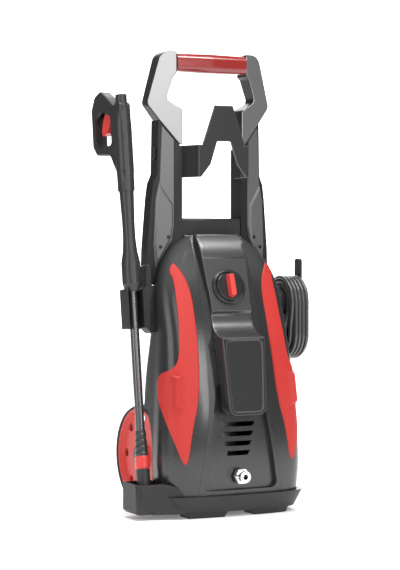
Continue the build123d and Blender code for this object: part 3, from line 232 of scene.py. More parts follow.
class DustGroup(ShaderGroup):
    """Shader group for a thin film of dust that gathers low on the machine."""

    name = "low dust"
    inputs = {"Vector": "Vector", "Height Limit": "Float", "Amount": "Float"}
    outputs = {"Mask": "Float"}
    patch_scale = 14.0
    patch_detail = 5.0

    @classmethod
    def fill(cls, group: bpy.types.NodeTree, source: bpy.types.Node, result: bpy.types.Node) -> None:
        """Make patches that thin out with the height above the floor.

        Args:
            group: Group with nothing but its input and its output.
            source: Node with the group's inputs.
            result: Node with the group's outputs.
        """
        split = group.nodes.new("ShaderNodeSeparateXYZ")
        fall = group.nodes.new("ShaderNodeMapRange")
        fall.inputs["To Min"].default_value = 1.0
        fall.inputs["To Max"].default_value = 0.0
        patches = group.nodes.new("ShaderNodeTexNoise")
        patches.inputs["Scale"].default_value = cls.patch_scale
        patches.inputs["Detail"].default_value = cls.patch_detail
        both = group.nodes.new("ShaderNodeMath")
        both.operation = "MULTIPLY"
        amount = group.nodes.new("ShaderNodeMath")
        amount.operation = "MULTIPLY"
        link(group, source.outputs["Vector"], split.inputs["Vector"])
        link(group, split.outputs["Z"], fall.inputs["Value"])
        link(group, source.outputs["Height Limit"], fall.inputs["From Max"])
        link(group, source.outputs["Vector"], patches.inputs["Vector"])
        link(group, fall.outputs["Result"], both.inputs[0])
        link(group, patches.outputs["Fac"], both.inputs[1])
        link(group, both.outputs["Value"], amount.inputs[0])
        link(group, source.outputs["Amount"], amount.inputs[1])
        link(group, amount.outputs["Value"], result.inputs["Mask"])


@dataclass(frozen=True)
class Finish:
    """One procedural surface finish.

    The fade is the two depths of the modelling frame, in millimetres, between which the gloss falls off.
    """

    name: str
    colour: Colour
    surface: Surface = Surface.SATIN
    roughness: float = 0.45
    metallic: float = 0.0
    grain_scale: float = 900.0
    grain_depth: float = 0.05
    mottle: float = 0.06
    dust: float = 0.02
    shine: float = 0.5
    glow: float = 0.0
    fade: tuple[float, float] | None = None
    fade_roughness: float = 0.4
    coat_roughness: float = 0.12

    def material(self) -> bpy.types.Material:
        """Return the Blender material of this finish, and make it on first use.

        Returns:
            A material with grain, mottling and dust in object coordinates.
        """
        found = bpy.data.materials.get(self.name)
        if found:
            return found
        material = bpy.data.materials.new(self.name)
        material.use_nodes = True
        material.diffuse_color = (*self.colour, 1)
        tree = material.node_tree
        shader = next(node for node in tree.nodes if node.type == "BSDF_PRINCIPLED")
        place = tree.nodes.new("ShaderNodeTexCoord")
        grain = GrainGroup.use(tree, place, {"Grain Scale": self.grain_scale, "Mottle Scale": MOTTLE_SCALE})
        dust = DustGroup.use(tree, place, {"Height Limit": DUST_HEIGHT, "Amount": self.dust})
        self.link_colour(tree, shader, grain, dust)
        sheen = tree.nodes.new("ShaderNodeMapRange")
        sheen.inputs["To Min"].default_value = max(LEAST_ROUGHNESS, self.roughness - ROUGHNESS_LESS)
        sheen.inputs["To Max"].default_value = min(1.0, self.roughness + ROUGHNESS_MORE)
        link(tree, grain.outputs["Mottle"], sheen.inputs["Value"])
        if self.fade:
            self.link_fade(tree, shader, place, sheen)
        else:
            link(tree, sheen.outputs["Result"], shader.inputs["Roughness"])
        bump = tree.nodes.new("ShaderNodeBump")
        bump.inputs["Strength"].default_value = self.grain_depth
        bump.inputs["Distance"].default_value = GRAIN_HEIGHT
        link(tree, grain.outputs["Height"], bump.inputs["Height"])
        link(tree, bump.outputs["Normal"], shader.inputs["Normal"])
        settings = {"Metallic": self.metallic, "Coat Weight": self.surface.value,
                    "Coat Roughness": self.coat_roughness, "Specular IOR Level": self.shine,
                    "Emission Color": (*self.colour, 1), "Emission Strength": self.glow}
        for socket, value in settings.items():
            shader.inputs[socket].default_value = value
        return material

    def link_colour(self, tree: bpy.types.NodeTree, shader: bpy.types.Node, grain: bpy.types.Node,
                    dust: bpy.types.Node) -> None:
        """Mottle the colour and lay the dust on it.

        Args:
            tree: Node tree of the material.
            shader: Its surface shader.
            grain: Node of the grain group.
            dust: Node of the dust group.
        """
        light = tuple(min(1.0, channel * (1 + self.mottle)) for channel in self.colour)
        dark = tuple(channel * (1 - self.mottle) for channel in self.colour)
        tone = tree.nodes.new("ShaderNodeMix")
        tone.data_type = "RGBA"
        tone.inputs["A"].default_value = (*dark, 1)
        tone.inputs["B"].default_value = (*light, 1)
        link(tree, grain.outputs["Mottle"], tone.inputs["Factor"])
        film = tree.nodes.new("ShaderNodeMix")
        film.data_type = "RGBA"
        film.inputs["B"].default_value = (*DUST_COLOUR, 1)
        link(tree, dust.outputs["Mask"], film.inputs["Factor"])
        link(tree, tone.outputs["Result"], film.inputs["A"])
        link(tree, film.outputs["Result"], shader.inputs["Base Color"])

    def link_fade(self, tree: bpy.types.NodeTree, shader: bpy.types.Node, place: bpy.types.Node,
                  sheen: bpy.types.Node) -> None:
        """Let the gloss fall off from the front of the machine to its back.

        Args:
            tree: Node tree of the material.
            shader: Its surface shader.
            place: Node with the object coordinates.
            sheen: Node with the roughness at the front.
        """
        split = tree.nodes.new("ShaderNodeSeparateXYZ")
        link(tree, place.outputs["Object"], split.inputs["Vector"])
        front, back = (LAYOUT.at(0, depth, 0).y for depth in self.fade)
        ends = {"Roughness": (0.0, self.fade_roughness), "Coat Weight": (self.surface.value, 0.0)}
        falls = {}
        for socket, (near, far) in ends.items():
            fall = tree.nodes.new("ShaderNodeMapRange")
            fall.interpolation_type = "SMOOTHSTEP"
            fall.inputs["From Min"].default_value = front
            fall.inputs["From Max"].default_value = back
            fall.inputs["To Min"].default_value = near
            fall.inputs["To Max"].default_value = far
            link(tree, split.outputs["Y"], fall.inputs["Value"])
            falls[socket] = fall
        both = tree.nodes.new("ShaderNodeMath")
        both.operation = "ADD"
        link(tree, sheen.outputs["Result"], both.inputs[0])
        link(tree, falls["Roughness"].outputs["Result"], both.inputs[1])
        link(tree, both.outputs["Value"], shader.inputs["Roughness"])
        link(tree, falls["Coat Weight"].outputs["Result"], shader.inputs["Coat Weight"])


# Finishes of the pieces, and of the stage around them.
BODY_BLACK = Finish("shell black", (0.018, 0.018, 0.019), Surface.SATIN, 0.27, grain_depth=0.0, mottle=0.03,
                    shine=0.75)
REAR_BLACK = Finish("rear black", (0.020, 0.020, 0.021), Surface.GLOSS, 0.27, grain_depth=0.0, mottle=0.03,
                    shine=0.5, fade=(-85.0, -40.0))
FRAME_BLACK = Finish("frame black", (0.024, 0.024, 0.025), Surface.SATIN, 0.36, shine=0.3)
UPRIGHT_BLACK = Finish("upright black", (0.014, 0.014, 0.015), Surface.SATIN, 0.4, shine=0.35)
PANEL_RED = Finish("panel red", (0.49, 0.034, 0.028), Surface.MATT, 0.45, grain_depth=0.02, mottle=0.03,
                   shine=0.3)
BASE_BLACK = Finish("base black", (0.019, 0.018, 0.020), Surface.SATIN, 0.45, shine=0.35)
CONSOLE_BLACK = Finish("console black", (0.020, 0.020, 0.021), Surface.GLOSS, 0.33, grain_depth=0.0,
                       mottle=0.02, shine=1.0, coat_roughness=0.3)
CONSOLE_DARK = Finish("console dark", (0.018, 0.018, 0.019), Surface.MATT, 0.45, grain_depth=0.02, shine=0.3)
# Lighter grey for rounded edges: a painted highlight that stands in for the light those edges catch.
PAINTED_EDGE_HIGHLIGHT = Finish("painted edge highlight", (0.07, 0.07, 0.074), Surface.SATIN, 0.4, grain_depth=0.0)
KNOB_BLACK = Finish("knob black", (0.008, 0.008, 0.009), Surface.SATIN, 0.34)
KNOB_RED = Finish("knob red", (0.62, 0.05, 0.042), Surface.GLOSS, 0.34, mottle=0.03)
FASCIA_GREY = Finish("fascia grey", (0.16, 0.16, 0.165), Surface.SATIN, 0.34, metallic=0.5)
HANDLE_SILVER = Finish("handle silver", (0.44, 0.44, 0.445), Surface.SATIN, 0.32, metallic=0.9)
GRIP_RED = Finish("grip red", (0.25, 0.013, 0.011), Surface.GLOSS, 0.22, grain_depth=0.0, mottle=0.03,
                  shine=0.8)
CHROME = Finish("chrome", (0.2, 0.2, 0.21), Surface.METAL, 0.16, metallic=1.0, grain_depth=0.0, dust=0.0)
BRASS = Finish("brass", (0.6, 0.42, 0.15), Surface.METAL, 0.28, metallic=1.0, grain_depth=0.0)
STEEL = Finish("steel", (0.45, 0.45, 0.46), Surface.METAL, 0.3, metallic=1.0, grain_depth=0.02)
TUBE_DARK = Finish("tube dark", (0.16, 0.16, 0.165), Surface.METAL, 0.24, metallic=0.9, grain_depth=0.0)
LANCE_BLACK = Finish("lance black", (0.026, 0.026, 0.028), Surface.SATIN, 0.34)
TRIGGER_RED = Finish("trigger red", (0.66, 0.045, 0.038), Surface.GLOSS, 0.36, mottle=0.03)
TYRE_BLACK = Finish("tyre black", (0.018, 0.018, 0.018), Surface.MATT, 0.7, grain_depth=0.15, dust=0.05)
HUB_RED = Finish("hub red", (0.62, 0.046, 0.037), Surface.SATIN, 0.4, mottle=0.04)
CORD_BLACK = Finish("cord black", (0.050, 0.050, 0.051), Surface.SATIN, 0.30, shine=0.8)
MOTOR_GREY = Finish("motor grey", (0.35, 0.35, 0.36), Surface.METAL, 0.45, metallic=0.9, grain_depth=0.2)
FLOOR_PALE = Finish("floor pale", (0.93, 0.93, 0.93), Surface.MATT, 0.6, grain_depth=0.0, mottle=0.01,
                    dust=0.0, shine=0.0, glow=0.2)
WALL_WHITE = Finish("wall white", (1.0, 1.0, 1.0), Surface.MATT, 0.9, grain_depth=0.0, mottle=0.0,
                    dust=0.0, shine=0.0, glow=1.0)


def paint(names: Iterable[str], finish: Finish) -> None:
    """Give CAD nodes one finish.

    Args:
        names: Names of the nodes.
        finish: Finish for all their faces.
    """
    for name in names:
        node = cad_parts[name]
        node.data.materials.clear()
        node.data.materials.append(finish.material())
        log.info("painted %s: %s", name, finish.name)


def paint_faces(name: str, finish: Finish, wanted: Callable[[Vector, Vector], bool]) -> None:
    """Give a second finish to some faces of a painted CAD node.

    Args:
        name: Name of the node.
        finish: Finish for the chosen faces.
        wanted: Tells from a face's centre and normal if it is chosen.
    """
    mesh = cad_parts[name].data
    mesh.materials.append(finish.material())
    index = len(mesh.materials) - 1
    count = 0
    for face in mesh.polygons:
        if wanted(face.center, face.normal):
            face.material_index = index
            count += 1
    log.info("painted %d faces of %s: %s", count, name, finish.name)


def soften(names: Iterable[str], width: float, angle_deg: float = 32.0, steps: int = 2) -> None:
    """Round the sharp edges of CAD nodes with modifiers.

    Args:
        names: Names of the nodes.
        width: Width of the rounded edge in millimetres.
        angle_deg: Edges that turn by less than this stay as they are.
        steps: Number of faces across the rounded edge.
    """
    for name in names:
        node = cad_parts[name]
        weld = node.modifiers.new("joined corners", "WELD")
        weld.merge_threshold = WELD_REACH * MM
        bevel = node.modifiers.new("soft edges", "BEVEL")
        bevel.width = width * MM
        bevel.segments = steps
        bevel.use_clamp_overlap = False
        bevel.miter_outer = "MITER_ARC"
        bevel.limit_method = "ANGLE"
        bevel.angle_limit = math.radians(angle_deg)
        log.info("softened %s: %.1f mm", name, width)


def paint_rims(names: Iterable[str], finish: Finish) -> None:
    """Give the rounded edges of softened CAD nodes a finish of their own.

    Args:
        names: Names of the nodes, painted before.
        finish: Finish for their rounded edges.
    """
    for name in names:
        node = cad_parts[name]
        node.data.materials.append(finish.material())
        for modifier in node.modifiers:
            if modifier.type == "BEVEL":
                modifier.material = len(node.data.materials) - 1


def spot_on(name: str, start: Vector, way: Vector) -> tuple[Vector, Vector] | None:
    """Point and outward direction where a ray meets a CAD node, or None when it misses."""
    hit, point, normal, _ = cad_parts[name].ray_cast(start, way.normalized())
    return (point, normal) if hit else None


def mesh_object(name: str, vertices: Sequence[Vector | Point], faces: Sequence[tuple[int, ...]],
                finish: Finish) -> bpy.types.Object:
    """Make a mesh object with flat faces at the origin.

    Args:
        name: Name of the object.
        vertices: Points in the model's frame.
        faces: Vertex numbers of each face.
        finish: Finish of the whole mesh.

    Returns:
        The new object, in the scene.
    """
    mesh = bpy.data.meshes.new(name)
    mesh.from_pydata([tuple(v) for v in vertices], [], faces)
    mesh.update()
    mesh.materials.append(finish.material())
    made = bpy.data.objects.new(name, mesh)
    bpy.context.scene.collection.objects.link(made)
    log.info("made %s: %d faces", name, len(faces))
    return made


@dataclass(frozen=True)
class PhotoCamera:
    """Camera that stands where the photo was taken."""

    azimuth_deg: float = 28.0
    distance: float = 3.6
    height: float = 0.521
    focal_px: float = 1863.0
    image_px: tuple[int, int] = (400, 570)
    centre_px: Pixel = (207.0, 238.0)
    sensor_mm: float = 36.0
    sight: float = 50.0

    def directions(self) -> tuple[Vector, Vector]:
        """Level directions forward from the camera and to its right."""
        turn = math.radians(self.azimuth_deg)
        return Vector((math.sin(turn), math.cos(turn), 0)), Vector((math.cos(turn), -math.sin(turn), 0))

    def ray(self, across_px: float, down_px: float) -> tuple[Vector, Vector]:
        """Line of sight through one pixel of the photo.

        Args:
            across_px: Pixels from the left edge.
            down_px: Pixels from the top edge.

        Returns:
            The camera's place and the direction of the line.
        """
        forward, right = self.directions()
        start = LAYOUT.shift - forward * self.distance + Vector((0, 0, self.height))
        across = (across_px - self.centre_px[0]) / self.focal_px
        down = (down_px - self.centre_px[1]) / self.focal_px
        return start, forward + right * across - Vector((0, 0, down))

    def build(self) -> bpy.types.Object:
        """Make the camera and make it the scene's own.

        Returns:
            The camera object.
        """
        start, look = self.ray(self.image_px[0] / 2, self.image_px[1] / 2)
        data = bpy.data.cameras.new("photo camera")
        data.sensor_width = self.sensor_mm
        data.lens = self.sensor_mm * self.focal_px / max(self.image_px)
        data.clip_end = self.sight
        camera = bpy.data.objects.new("photo camera", data)
        camera.location = start
        camera.rotation_mode = "QUATERNION"
        camera.rotation_quaternion = look.to_track_quat("-Z", "Y")
        bpy.context.scene.collection.objects.link(camera)
        bpy.context.scene.camera = camera
        log.info("camera lens %.1f mm", data.lens)
        return camera


def ease(share: float) -> float:
    """Share of a step that starts and ends gently."""
    return share * share * (3 - 2 * share)


@dataclass(frozen=True)
class CordSide:
    """The power cord on its two hooks, in millimetres of the modelling frame."""

    diameter: float = 8.0
    pitch: float = 8.2
    layers: int = 3
    turns: int = 5
    middle_y: float = 2.0
    low_z: float = 333.0
    high_z: float = 397.0
    bore: float = 26.3
    first_x: float = 165.1
    tail: tuple[Point, ...] = ((146.31, -28.4, 237.31), (155.5, -28.4, 246.5), (155.5, -28.4, 339.0),
                               (165.1, -28.4, 373.0))
    lead: tuple[Point, ...] = ((197.9, 60.8, 378.0), (181.5, 74.0, 359.0), (181.5, 74.0, 341.0))
    pins_top_z: float = 292.5
    arc_steps: int = 14
    run_steps: int = 5
    section_steps: int = 4
    spline_order: int = 3
    spline_steps: int = 4

    def coil_points(self) -> list[Point]:
        """Points of all turns, from the inside out.

        Each turn runs up at the front, over the top, down at the back and round the bottom. It steps sideways
        in the bottom arc, and it climbs to the next layer while it runs up.

        Returns:
            Points in millimetres.
        """
        points = []
        x = self.first_x
        radius = self.bore + self.pitch / 2
        step = self.pitch
        rise = self.high_z - self.low_z
        for layer in range(self.layers):
            for turn in range(self.turns):
                first = layer == 0 and turn == 0
                last = layer == self.layers - 1 and turn == self.turns - 1
                start = radius - self.pitch if turn == 0 and not first else radius
                for part in range(self.run_steps - 1 if first else 0, self.run_steps):
                    share = part / self.run_steps
                    here = start + (radius - start) * ease(share)
                    points.append((x, self.middle_y - here, self.low_z + share * rise))
                for part in range(self.arc_steps + (1 if last else 0)):
                    angle = math.pi * part / self.arc_steps
                    points.append((x, self.middle_y - radius * math.cos(angle),
                                   self.high_z + radius * math.sin(angle)))
                if last:
                    return points
                for part in range(self.run_steps):
                    share = part / self.run_steps
                    points.append((x, self.middle_y + radius, self.high_z - share * rise))
                sideways = step if turn < self.turns - 1 else 0.0
                for part in range(self.arc_steps):
                    share = part / self.arc_steps
                    angle = math.pi * share
                    points.append((x + sideways * ease(share), self.middle_y + radius * math.cos(angle),
                                   self.low_z - radius * math.sin(angle)))
                x += sideways
            radius += self.pitch
            step = -step
        return points

    def build(self) -> bpy.types.Object:
        """Returns:
            The curve object.
        """
        points = [*self.tail, *self.coil_points(), *self.lead]
        curve = bpy.data.curves.new("power cord", "CURVE")
        curve.dimensions = "3D"
        curve.bevel_depth = self.diameter / 2 * MM
        curve.bevel_resolution = self.section_steps
        curve.use_fill_caps = True
        spline = curve.splines.new("NURBS")
        spline.points.add(len(points) - 1)
        for control, point in zip(spline.points, points):
            control.co = (*LAYOUT.at(*point), 1)
        spline.order_u = self.spline_order
        spline.use_endpoint_u = True
        spline.resolution_u = self.spline_steps
        curve.materials.append(CORD_BLACK.material())
        cord = bpy.data.objects.new("power_cord", curve)
        bpy.context.scene.collection.objects.link(cord)
        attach(cord, "machine")
        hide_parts("cord_tail", "cord_coil", "cord_lead")
        LAYOUT.at(*self.tail[0])
        return cord

    def dress(self) -> None:
        """Paint the hooks, gland and plug."""
        paint(["cord_bracket", "cord_hook"], BASE_BLACK)
        paint(["cord_coil", "cord_gland", "cord_tail", "cord_lead", "cord_plug"], CORD_BLACK)
        pins_top = LAYOUT.at(0, 0, self.pins_top_z).z
        paint_faces("cord_plug", BRASS, lambda centre, normal: centre.z < pins_top)


@dataclass(frozen=True)
class ScrewSet:
    """Small round screw heads, repeated with geometry nodes."""

    radius: float = 3.4
    height: float = 2.0
    recess_share: float = 0.55
    recess_depth: float = 0.9
    corners: int = 24

    def node_group(self, finish: Finish) -> bpy.types.NodeTree:
        """Make the geometry nodes that put a head with a sunken middle on each point.

        Args:
            finish: Finish of the heads.

        Returns:
            The geometry node group.
        """
        inputs = {"Geometry": "Geometry", "Head Radius": "Float", "Head Height": "Float",
                  "Recess Share": "Float", "Recess Depth": "Float"}
        group = empty_group("screw heads", "GeometryNodeTree", inputs, {"Geometry": "Geometry"})
        nodes = group.nodes
        source = nodes.new("NodeGroupInput")
        result = nodes.new("NodeGroupOutput")
        head = nodes.new("GeometryNodeMeshCylinder")
        head.inputs["Vertices"].default_value = self.corners
        ring = nodes.new("GeometryNodeExtrudeMesh")
        ring.inputs["Offset Scale"].default_value = 0.0
        inner = nodes.new("GeometryNodeScaleElements")
        sink = nodes.new("GeometryNodeExtrudeMesh")
        down = nodes.new("ShaderNodeMath")
        down.operation = "MULTIPLY"
        down.inputs[1].default_value = -1.0
        place = nodes.new("GeometryNodeInstanceOnPoints")
        facing = nodes.new("GeometryNodeInputNamedAttribute")
        facing.data_type = "FLOAT_VECTOR"
        facing.inputs["Name"].default_value = "facing"
        turn = nodes.new("FunctionNodeAlignRotationToVector")
        turn.axis = "Z"
        real = nodes.new("GeometryNodeRealizeInstances")
        coat = nodes.new("GeometryNodeSetMaterial")
        coat.inputs["Material"].default_value = finish.material()
        link(group, source.outputs["Head Radius"], head.inputs["Radius"])
        link(group, source.outputs["Head Height"], head.inputs["Depth"])
        link(group, head.outputs["Mesh"], ring.inputs["Mesh"])
        link(group, head.outputs["Top"], ring.inputs["Selection"])
        link(group, ring.outputs["Mesh"], inner.inputs["Geometry"])
        link(group, ring.outputs["Top"], inner.inputs["Selection"])
        link(group, source.outputs["Recess Share"], inner.inputs["Scale"])
        link(group, inner.outputs["Geometry"], sink.inputs["Mesh"])
        link(group, ring.outputs["Top"], sink.inputs["Selection"])
        link(group, source.outputs["Recess Depth"], down.inputs[0])
        link(group, down.outputs["Value"], sink.inputs["Offset Scale"])
        link(group, source.outputs["Geometry"], place.inputs["Points"])
        link(group, sink.outputs["Mesh"], place.inputs["Instance"])
        link(group, facing.outputs["Attribute"], turn.inputs["Vector"])
        link(group, turn.outputs["Rotation"], place.inputs["Rotation"])
        link(group, place.outputs["Instances"], real.inputs["Geometry"])
        link(group, real.outputs["Geometry"], coat.inputs["Geometry"])
        link(group, coat.outputs["Geometry"], result.inputs["Geometry"])
        return group

    def build(self, name: str, body: str, slot: str, places: Sequence[tuple[Vector, Vector] | None],
              finish: Finish) -> bpy.types.Object | None:
        """Put screw heads on a body.

        Args:
            name: Name of the new piece.
            body: CAD body that it moves with.
            slot: Not used.
            places: Point and outward direction of each head, or None where it has no ground.
            finish: Finish of the heads.

        Returns:
            The new piece as a plain mesh, or None when no head has any ground.
        """
        found = [place for place in places if place]
        if not found:
            log.info("no ground for %s", name)
            return None
        mesh = bpy.data.meshes.new(name + " points")
        mesh.from_pydata([tuple(point) for point, _ in found], [], [])
        facing = mesh.attributes.new("facing", "FLOAT_VECTOR", "POINT")
        facing.data.foreach_set("vector", [value for _, way in found for value in way.normalized()])
        holder = bpy.data.objects.new(name + " points", mesh)
        bpy.context.scene.collection.objects.link(holder)
        modifier = holder.modifiers.new("heads", "NODES")
        group = self.node_group(finish)
        modifier.node_group = group
        values = {"Head Radius": self.radius * MM, "Head Height": self.height * MM,
                  "Recess Share": self.recess_share, "Recess Depth": self.recess_depth * MM}
        for item in group.interface.items_tree:
            if item.in_out == "INPUT" and item.name in values:
                modifier[item.identifier] = values[item.name]
        made = plain_mesh(holder, name)
        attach(made, body)
        log.info("made %s: %d heads", name, len(found))
        return made


def plain_mesh(holder: bpy.types.Object, name: str) -> bpy.types.Object:
    """Turn an object with geometry nodes into a plain mesh object and remove the holder.

    Args:
        holder: Object whose modifiers make the shape.
        name: Name of the new object.

    Returns:
        The new object, in the scene.
    """
    bpy.context.view_layer.update()
    graph = bpy.context.evaluated_depsgraph_get()
    mesh = bpy.data.meshes.new_from_object(holder.evaluated_get(graph))
    mesh.name = name
    made = bpy.data.objects.new(name, mesh)
    bpy.context.scene.collection.objects.link(made)
    bpy.data.objects.remove(holder)
    return made


@dataclass(frozen=True)
class Shell:
    """Body shell, base tray and water couplings."""

    edge: float = 0.8
    rib_across_px: tuple[float, float, float] = (169.0, 177.0, 185.0)
    rib_down_px: tuple[float, float] = (374.0, 411.0)
    rib_slope_px: float = 5.0
    rib_rise: float = 7.0
    rib_sink: float = 0.5

    def build(self) -> None:
        """Round the edges of the tray, the pocket and the clip, and put a rib on each red panel."""
        soften(["base_tray", "lance_pocket", "lance_clip"], self.edge)
        points = self.rib_points()
        for side in Side:
            self.rib(side, points)

    def rib_points(self) -> list[Vector]:
        """Corners of the left panel's rib, found where the photo shows it.

        Returns:
            Four corners of the foot and both ends of the ridge.
        """
        left, crest, right = self.rib_across_px
        top, bottom = self.rib_down_px
        foot = [(left, top), (right, top), (right, bottom), (left, bottom)]
        ridge = [(crest, top + self.rib_slope_px), (crest, bottom - self.rib_slope_px)]
        points = []
        for pixel in foot + ridge:
            point, normal = spot_on("side_panel_left", *PhotoCamera().ray(*pixel))
            height = self.rib_rise if pixel in ridge else -self.rib_sink
            points.append(point + normal * height * MM)
        return points

    def rib(self, side: Side, points: Sequence[Vector]) -> bpy.types.Object:
        """Make the upright rib of one red panel.

        Args:
            side: Which panel.
            points: Corners of the left rib.

        Returns:
            The rib as a mesh with its foot in the panel.
        """
        faces = [(3, 0, 4, 5), (1, 2, 5, 4), (0, 1, 4), (2, 3, 5), (0, 3, 2, 1)]
        if side is Side.LEFT:
            faces = [tuple(reversed(face)) for face in faces]
        else:
            points = [LAYOUT.mirrored(point) for point in points]
        made = mesh_object(f"panel_rib_{side.value}", points, faces, PANEL_RED)
        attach(made, "machine")
        return made

    def dress(self) -> None:
        """Paint the outside and inside pieces of the body."""
        paint(["front_cover"], BODY_BLACK)
        paint(["rear_housing"], REAR_BLACK)
        paint(["side_panel_left", "side_panel_right"], PANEL_RED)
        paint(["base_tray", "lance_pocket", "lance_clip"], BASE_BLACK)
        paint(["outlet_coupling"], CHROME)
        paint(["inlet_coupling"], BRASS)
        paint(["motor_body", "pump_body"], MOTOR_GREY)
        paint(["motor_shaft", "axle"], STEEL)
        paint(["motor_fan"], LANCE_BLACK)


@dataclass(frozen=True)
class Console:
    """Control panel with its switch."""

    edge: float = 1.2
    field_top: float = 331.0

    def build(self) -> None:
        """Round the edges of the panel and of the switch."""
        soften(["console_panel"], self.edge)
        soften(["switch_bezel", "knob_grip"], self.edge / 2)

    def dress(self) -> None:
        """Paint the panel, its dark lower field, a painted highlight on its rounded edges, and the switch."""
        paint(["console_panel"], CONSOLE_BLACK)
        top = LAYOUT.at(0, 0, self.field_top).z
        paint_faces("console_panel", CONSOLE_DARK,
                    lambda centre, normal: normal.y < FRONT_NORMAL_Y and centre.z < top)
        # The panel's rounded edges get a painted highlight in lighter grey.
        paint_rims(["console_panel"], PAINTED_EDGE_HIGHLIGHT)
        paint(["switch_bezel", "switch_knob", "switch_box"], KNOB_BLACK)
        paint(["knob_grip"], KNOB_RED)


@dataclass(frozen=True)
class Frame:
    """Uprights with their strips, the hose hook, the cross bar and the telescopic handle."""

    screw_px: tuple[Pixel, ...] = ((168.5, 237.0), (160.5, 247.0))
    probe_start: float = 100.0
    edge: float = 1.2
    hoop_edge: float = 2.6

    def build(self) -> None:
        """Round the edges, and put screws low on both strips where the photo shows them on the left one."""
        soften(["hose_hook", "cross_bar"], self.edge)
        soften(["handle_hoop"], self.hoop_edge)
        places = []
        for pixel in self.screw_px:
            left = spot_on("fascia_left", *PhotoCamera().ray(*pixel))
            if left:
                start = LAYOUT.mirrored(left[0]) - Vector((0, self.probe_start * MM, 0))
                places += [left, spot_on("fascia_right", start, Vector((0, 1, 0)))]
        ScrewSet().build("strip_screws", "machine", "frame_black", places, KNOB_BLACK)

    def dress(self) -> None:
        """Paint the frame and the handle, with a painted highlight on the hook's rounded edges."""
        paint(["upright_left", "upright_right"], UPRIGHT_BLACK)
        paint(["hose_hook", "cross_bar"], FRAME_BLACK)
        paint(["fascia_left", "fascia_right"], FASCIA_GREY)
        paint(["handle_hoop"], FRAME_BLACK)
        paint_faces("handle_hoop", HANDLE_SILVER, lambda centre, normal: normal.y < FRONT_NORMAL_Y)
        paint_rims(["handle_hoop"], FRAME_BLACK)
        # The hook's rounded edges get a painted highlight in lighter grey.
        paint_rims(["hose_hook"], PAINTED_EDGE_HIGHLIGHT)
        paint(["hand_grip"], GRIP_RED)
        paint(["latch_button_left", "latch_button_right"], KNOB_BLACK)


@dataclass(frozen=True)
class Wheels:
    """Both wheels."""

    edge: float = 0.8

    def build(self) -> None:
        """Round the edges of the hubs."""
        soften(["hub_left", "hub_right"], self.edge)

    def dress(self) -> None:
        """Paint tyres, hubs and caps."""
        for side in Side:
            paint([f"tyre_{side.value}"], TYRE_BLACK)
            paint([f"hub_{side.value}"], HUB_RED)
            paint([f"hub_cap_{side.value}"], LANCE_BLACK)


@dataclass(frozen=True)
class Lance:
    """Spray lance with its gun."""

    screw_px: tuple[Pixel, ...] = ((124.0, 171.0), (124.0, 137.0))
    screw_radius: float = 2.4

    def build(self) -> None:
        """Put the two screws into the left half of the gun."""
        places = [spot_on("gun_shell_left", *PhotoCamera().ray(*pixel)) for pixel in self.screw_px]
        ScrewSet(radius=self.screw_radius).build("gun_screws", "lance", "lance_black", places, KNOB_BLACK)

    def dress(self) -> None:
        """Paint all pieces of the lance."""
        paint(["nozzle_tip", "nozzle_body", "lance_collar", "lance_extension"], LANCE_BLACK)
        paint(["gun_shell_left", "gun_shell_right", "gun_valve"], LANCE_BLACK)
        paint(["nozzle_ring", "trigger"], TRIGGER_RED)
        paint(["lance_tube"], TUBE_DARK)
        paint(["trigger_pin"], STEEL)


@dataclass(frozen=True)
class SoftBox:
    """One rectangular soft light that points at a spot."""

    name: str
    place: Point
    size: tuple[float, float]
    watts: float
    aim: Point = (0.0, 0.0, 0.5)

    def build(self) -> bpy.types.Object:
        """Make the light.

        Returns:
            The light object.
        """
        data = bpy.data.lights.new(self.name, "AREA")
        data.shape = "RECTANGLE"
        data.energy = self.watts
        data.size, data.size_y = self.size
        lamp = bpy.data.objects.new(self.name, data)
        lamp.location = self.place
        lamp.rotation_mode = "QUATERNION"
        lamp.rotation_quaternion = (Vector(self.aim) - Vector(self.place)).to_track_quat("-Z", "Y")
        bpy.context.scene.collection.objects.link(lamp)
        log.info("lit %s: %.0f W", self.name, self.watts)
        return lamp


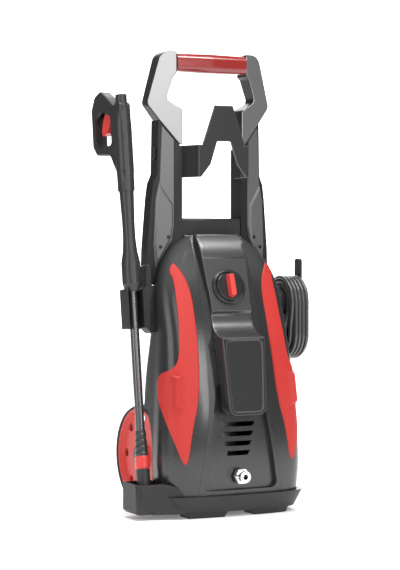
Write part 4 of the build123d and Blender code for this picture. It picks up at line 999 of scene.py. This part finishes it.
@dataclass(frozen=True)
class Studio:
    """Pale floor, white wall far behind the machine, and soft lights."""

    floor_half: float = 12.0
    wall_distance: float = 6.5
    wall_half: float = 3.0
    sky: float = 0.13
    boxes: tuple[SoftBox, ...] = (
        SoftBox("front box", (-0.7, -2.9, 1.6), (2.0, 1.8), 24.0),
        SoftBox("top box", (-0.3, -0.2, 2.6), (1.8, 1.4), 60.0),
        SoftBox("left box", (-2.6, -0.8, 1.2), (1.4, 1.8), 18.0),
        SoftBox("hood box", (0.7, -1.3, 2.4), (0.8, 0.5), 26.0, (0.0, 0.0, 0.55)),
        SoftBox("strip box", (0.85, -2.86, 1.1), (0.26, 1.3), 12.0, (0.0, 0.0, 0.35)),
        SoftBox("rear box", (1.2, 2.25, 1.1), (1.6, 1.2), 30.0),
        SoftBox("floor box", (1.7, 3.3, 3.0), (3.5, 3.2), 120.0, (1.7, 3.3, 0.0)),
    )

    def build(self) -> None:
        """Make the floor, the wall, the lights, the sky and plain colour settings."""
        half = self.floor_half
        corners = [(-half, -half, 0), (half, -half, 0), (half, half, 0), (-half, half, 0)]
        floor = mesh_object("floor", corners, [(0, 1, 2, 3)], FLOOR_PALE)
        forward, right = PhotoCamera().directions()
        middle = forward * self.wall_distance
        across = right * self.wall_half
        up = Vector((0, 0, self.wall_half))
        corners = [middle - across, middle - across + up, middle + across + up, middle + across]
        wall = mesh_object("wall", corners, [(0, 1, 2, 3)], WALL_WHITE)
        world = bpy.data.worlds.new("soft sky")
        world.use_nodes = True
        sky = next(node for node in world.node_tree.nodes if node.type == "BACKGROUND")
        sky.inputs["Color"].default_value = (1, 1, 1, 1)
        sky.inputs["Strength"].default_value = self.sky
        bpy.context.scene.world = world
        for box in self.boxes:
            box.build()
        bpy.context.scene.view_settings.view_transform = "Standard"


def main() -> None:
    """Build the whole scene."""
    PhotoCamera().build()
    parts = (CordSide(), Shell(), Console(), Frame(), Wheels(), Lance())
    for part in parts:
        part.build()
        part.dress()
    Studio().build()


if __name__ == "__main__":
    main()
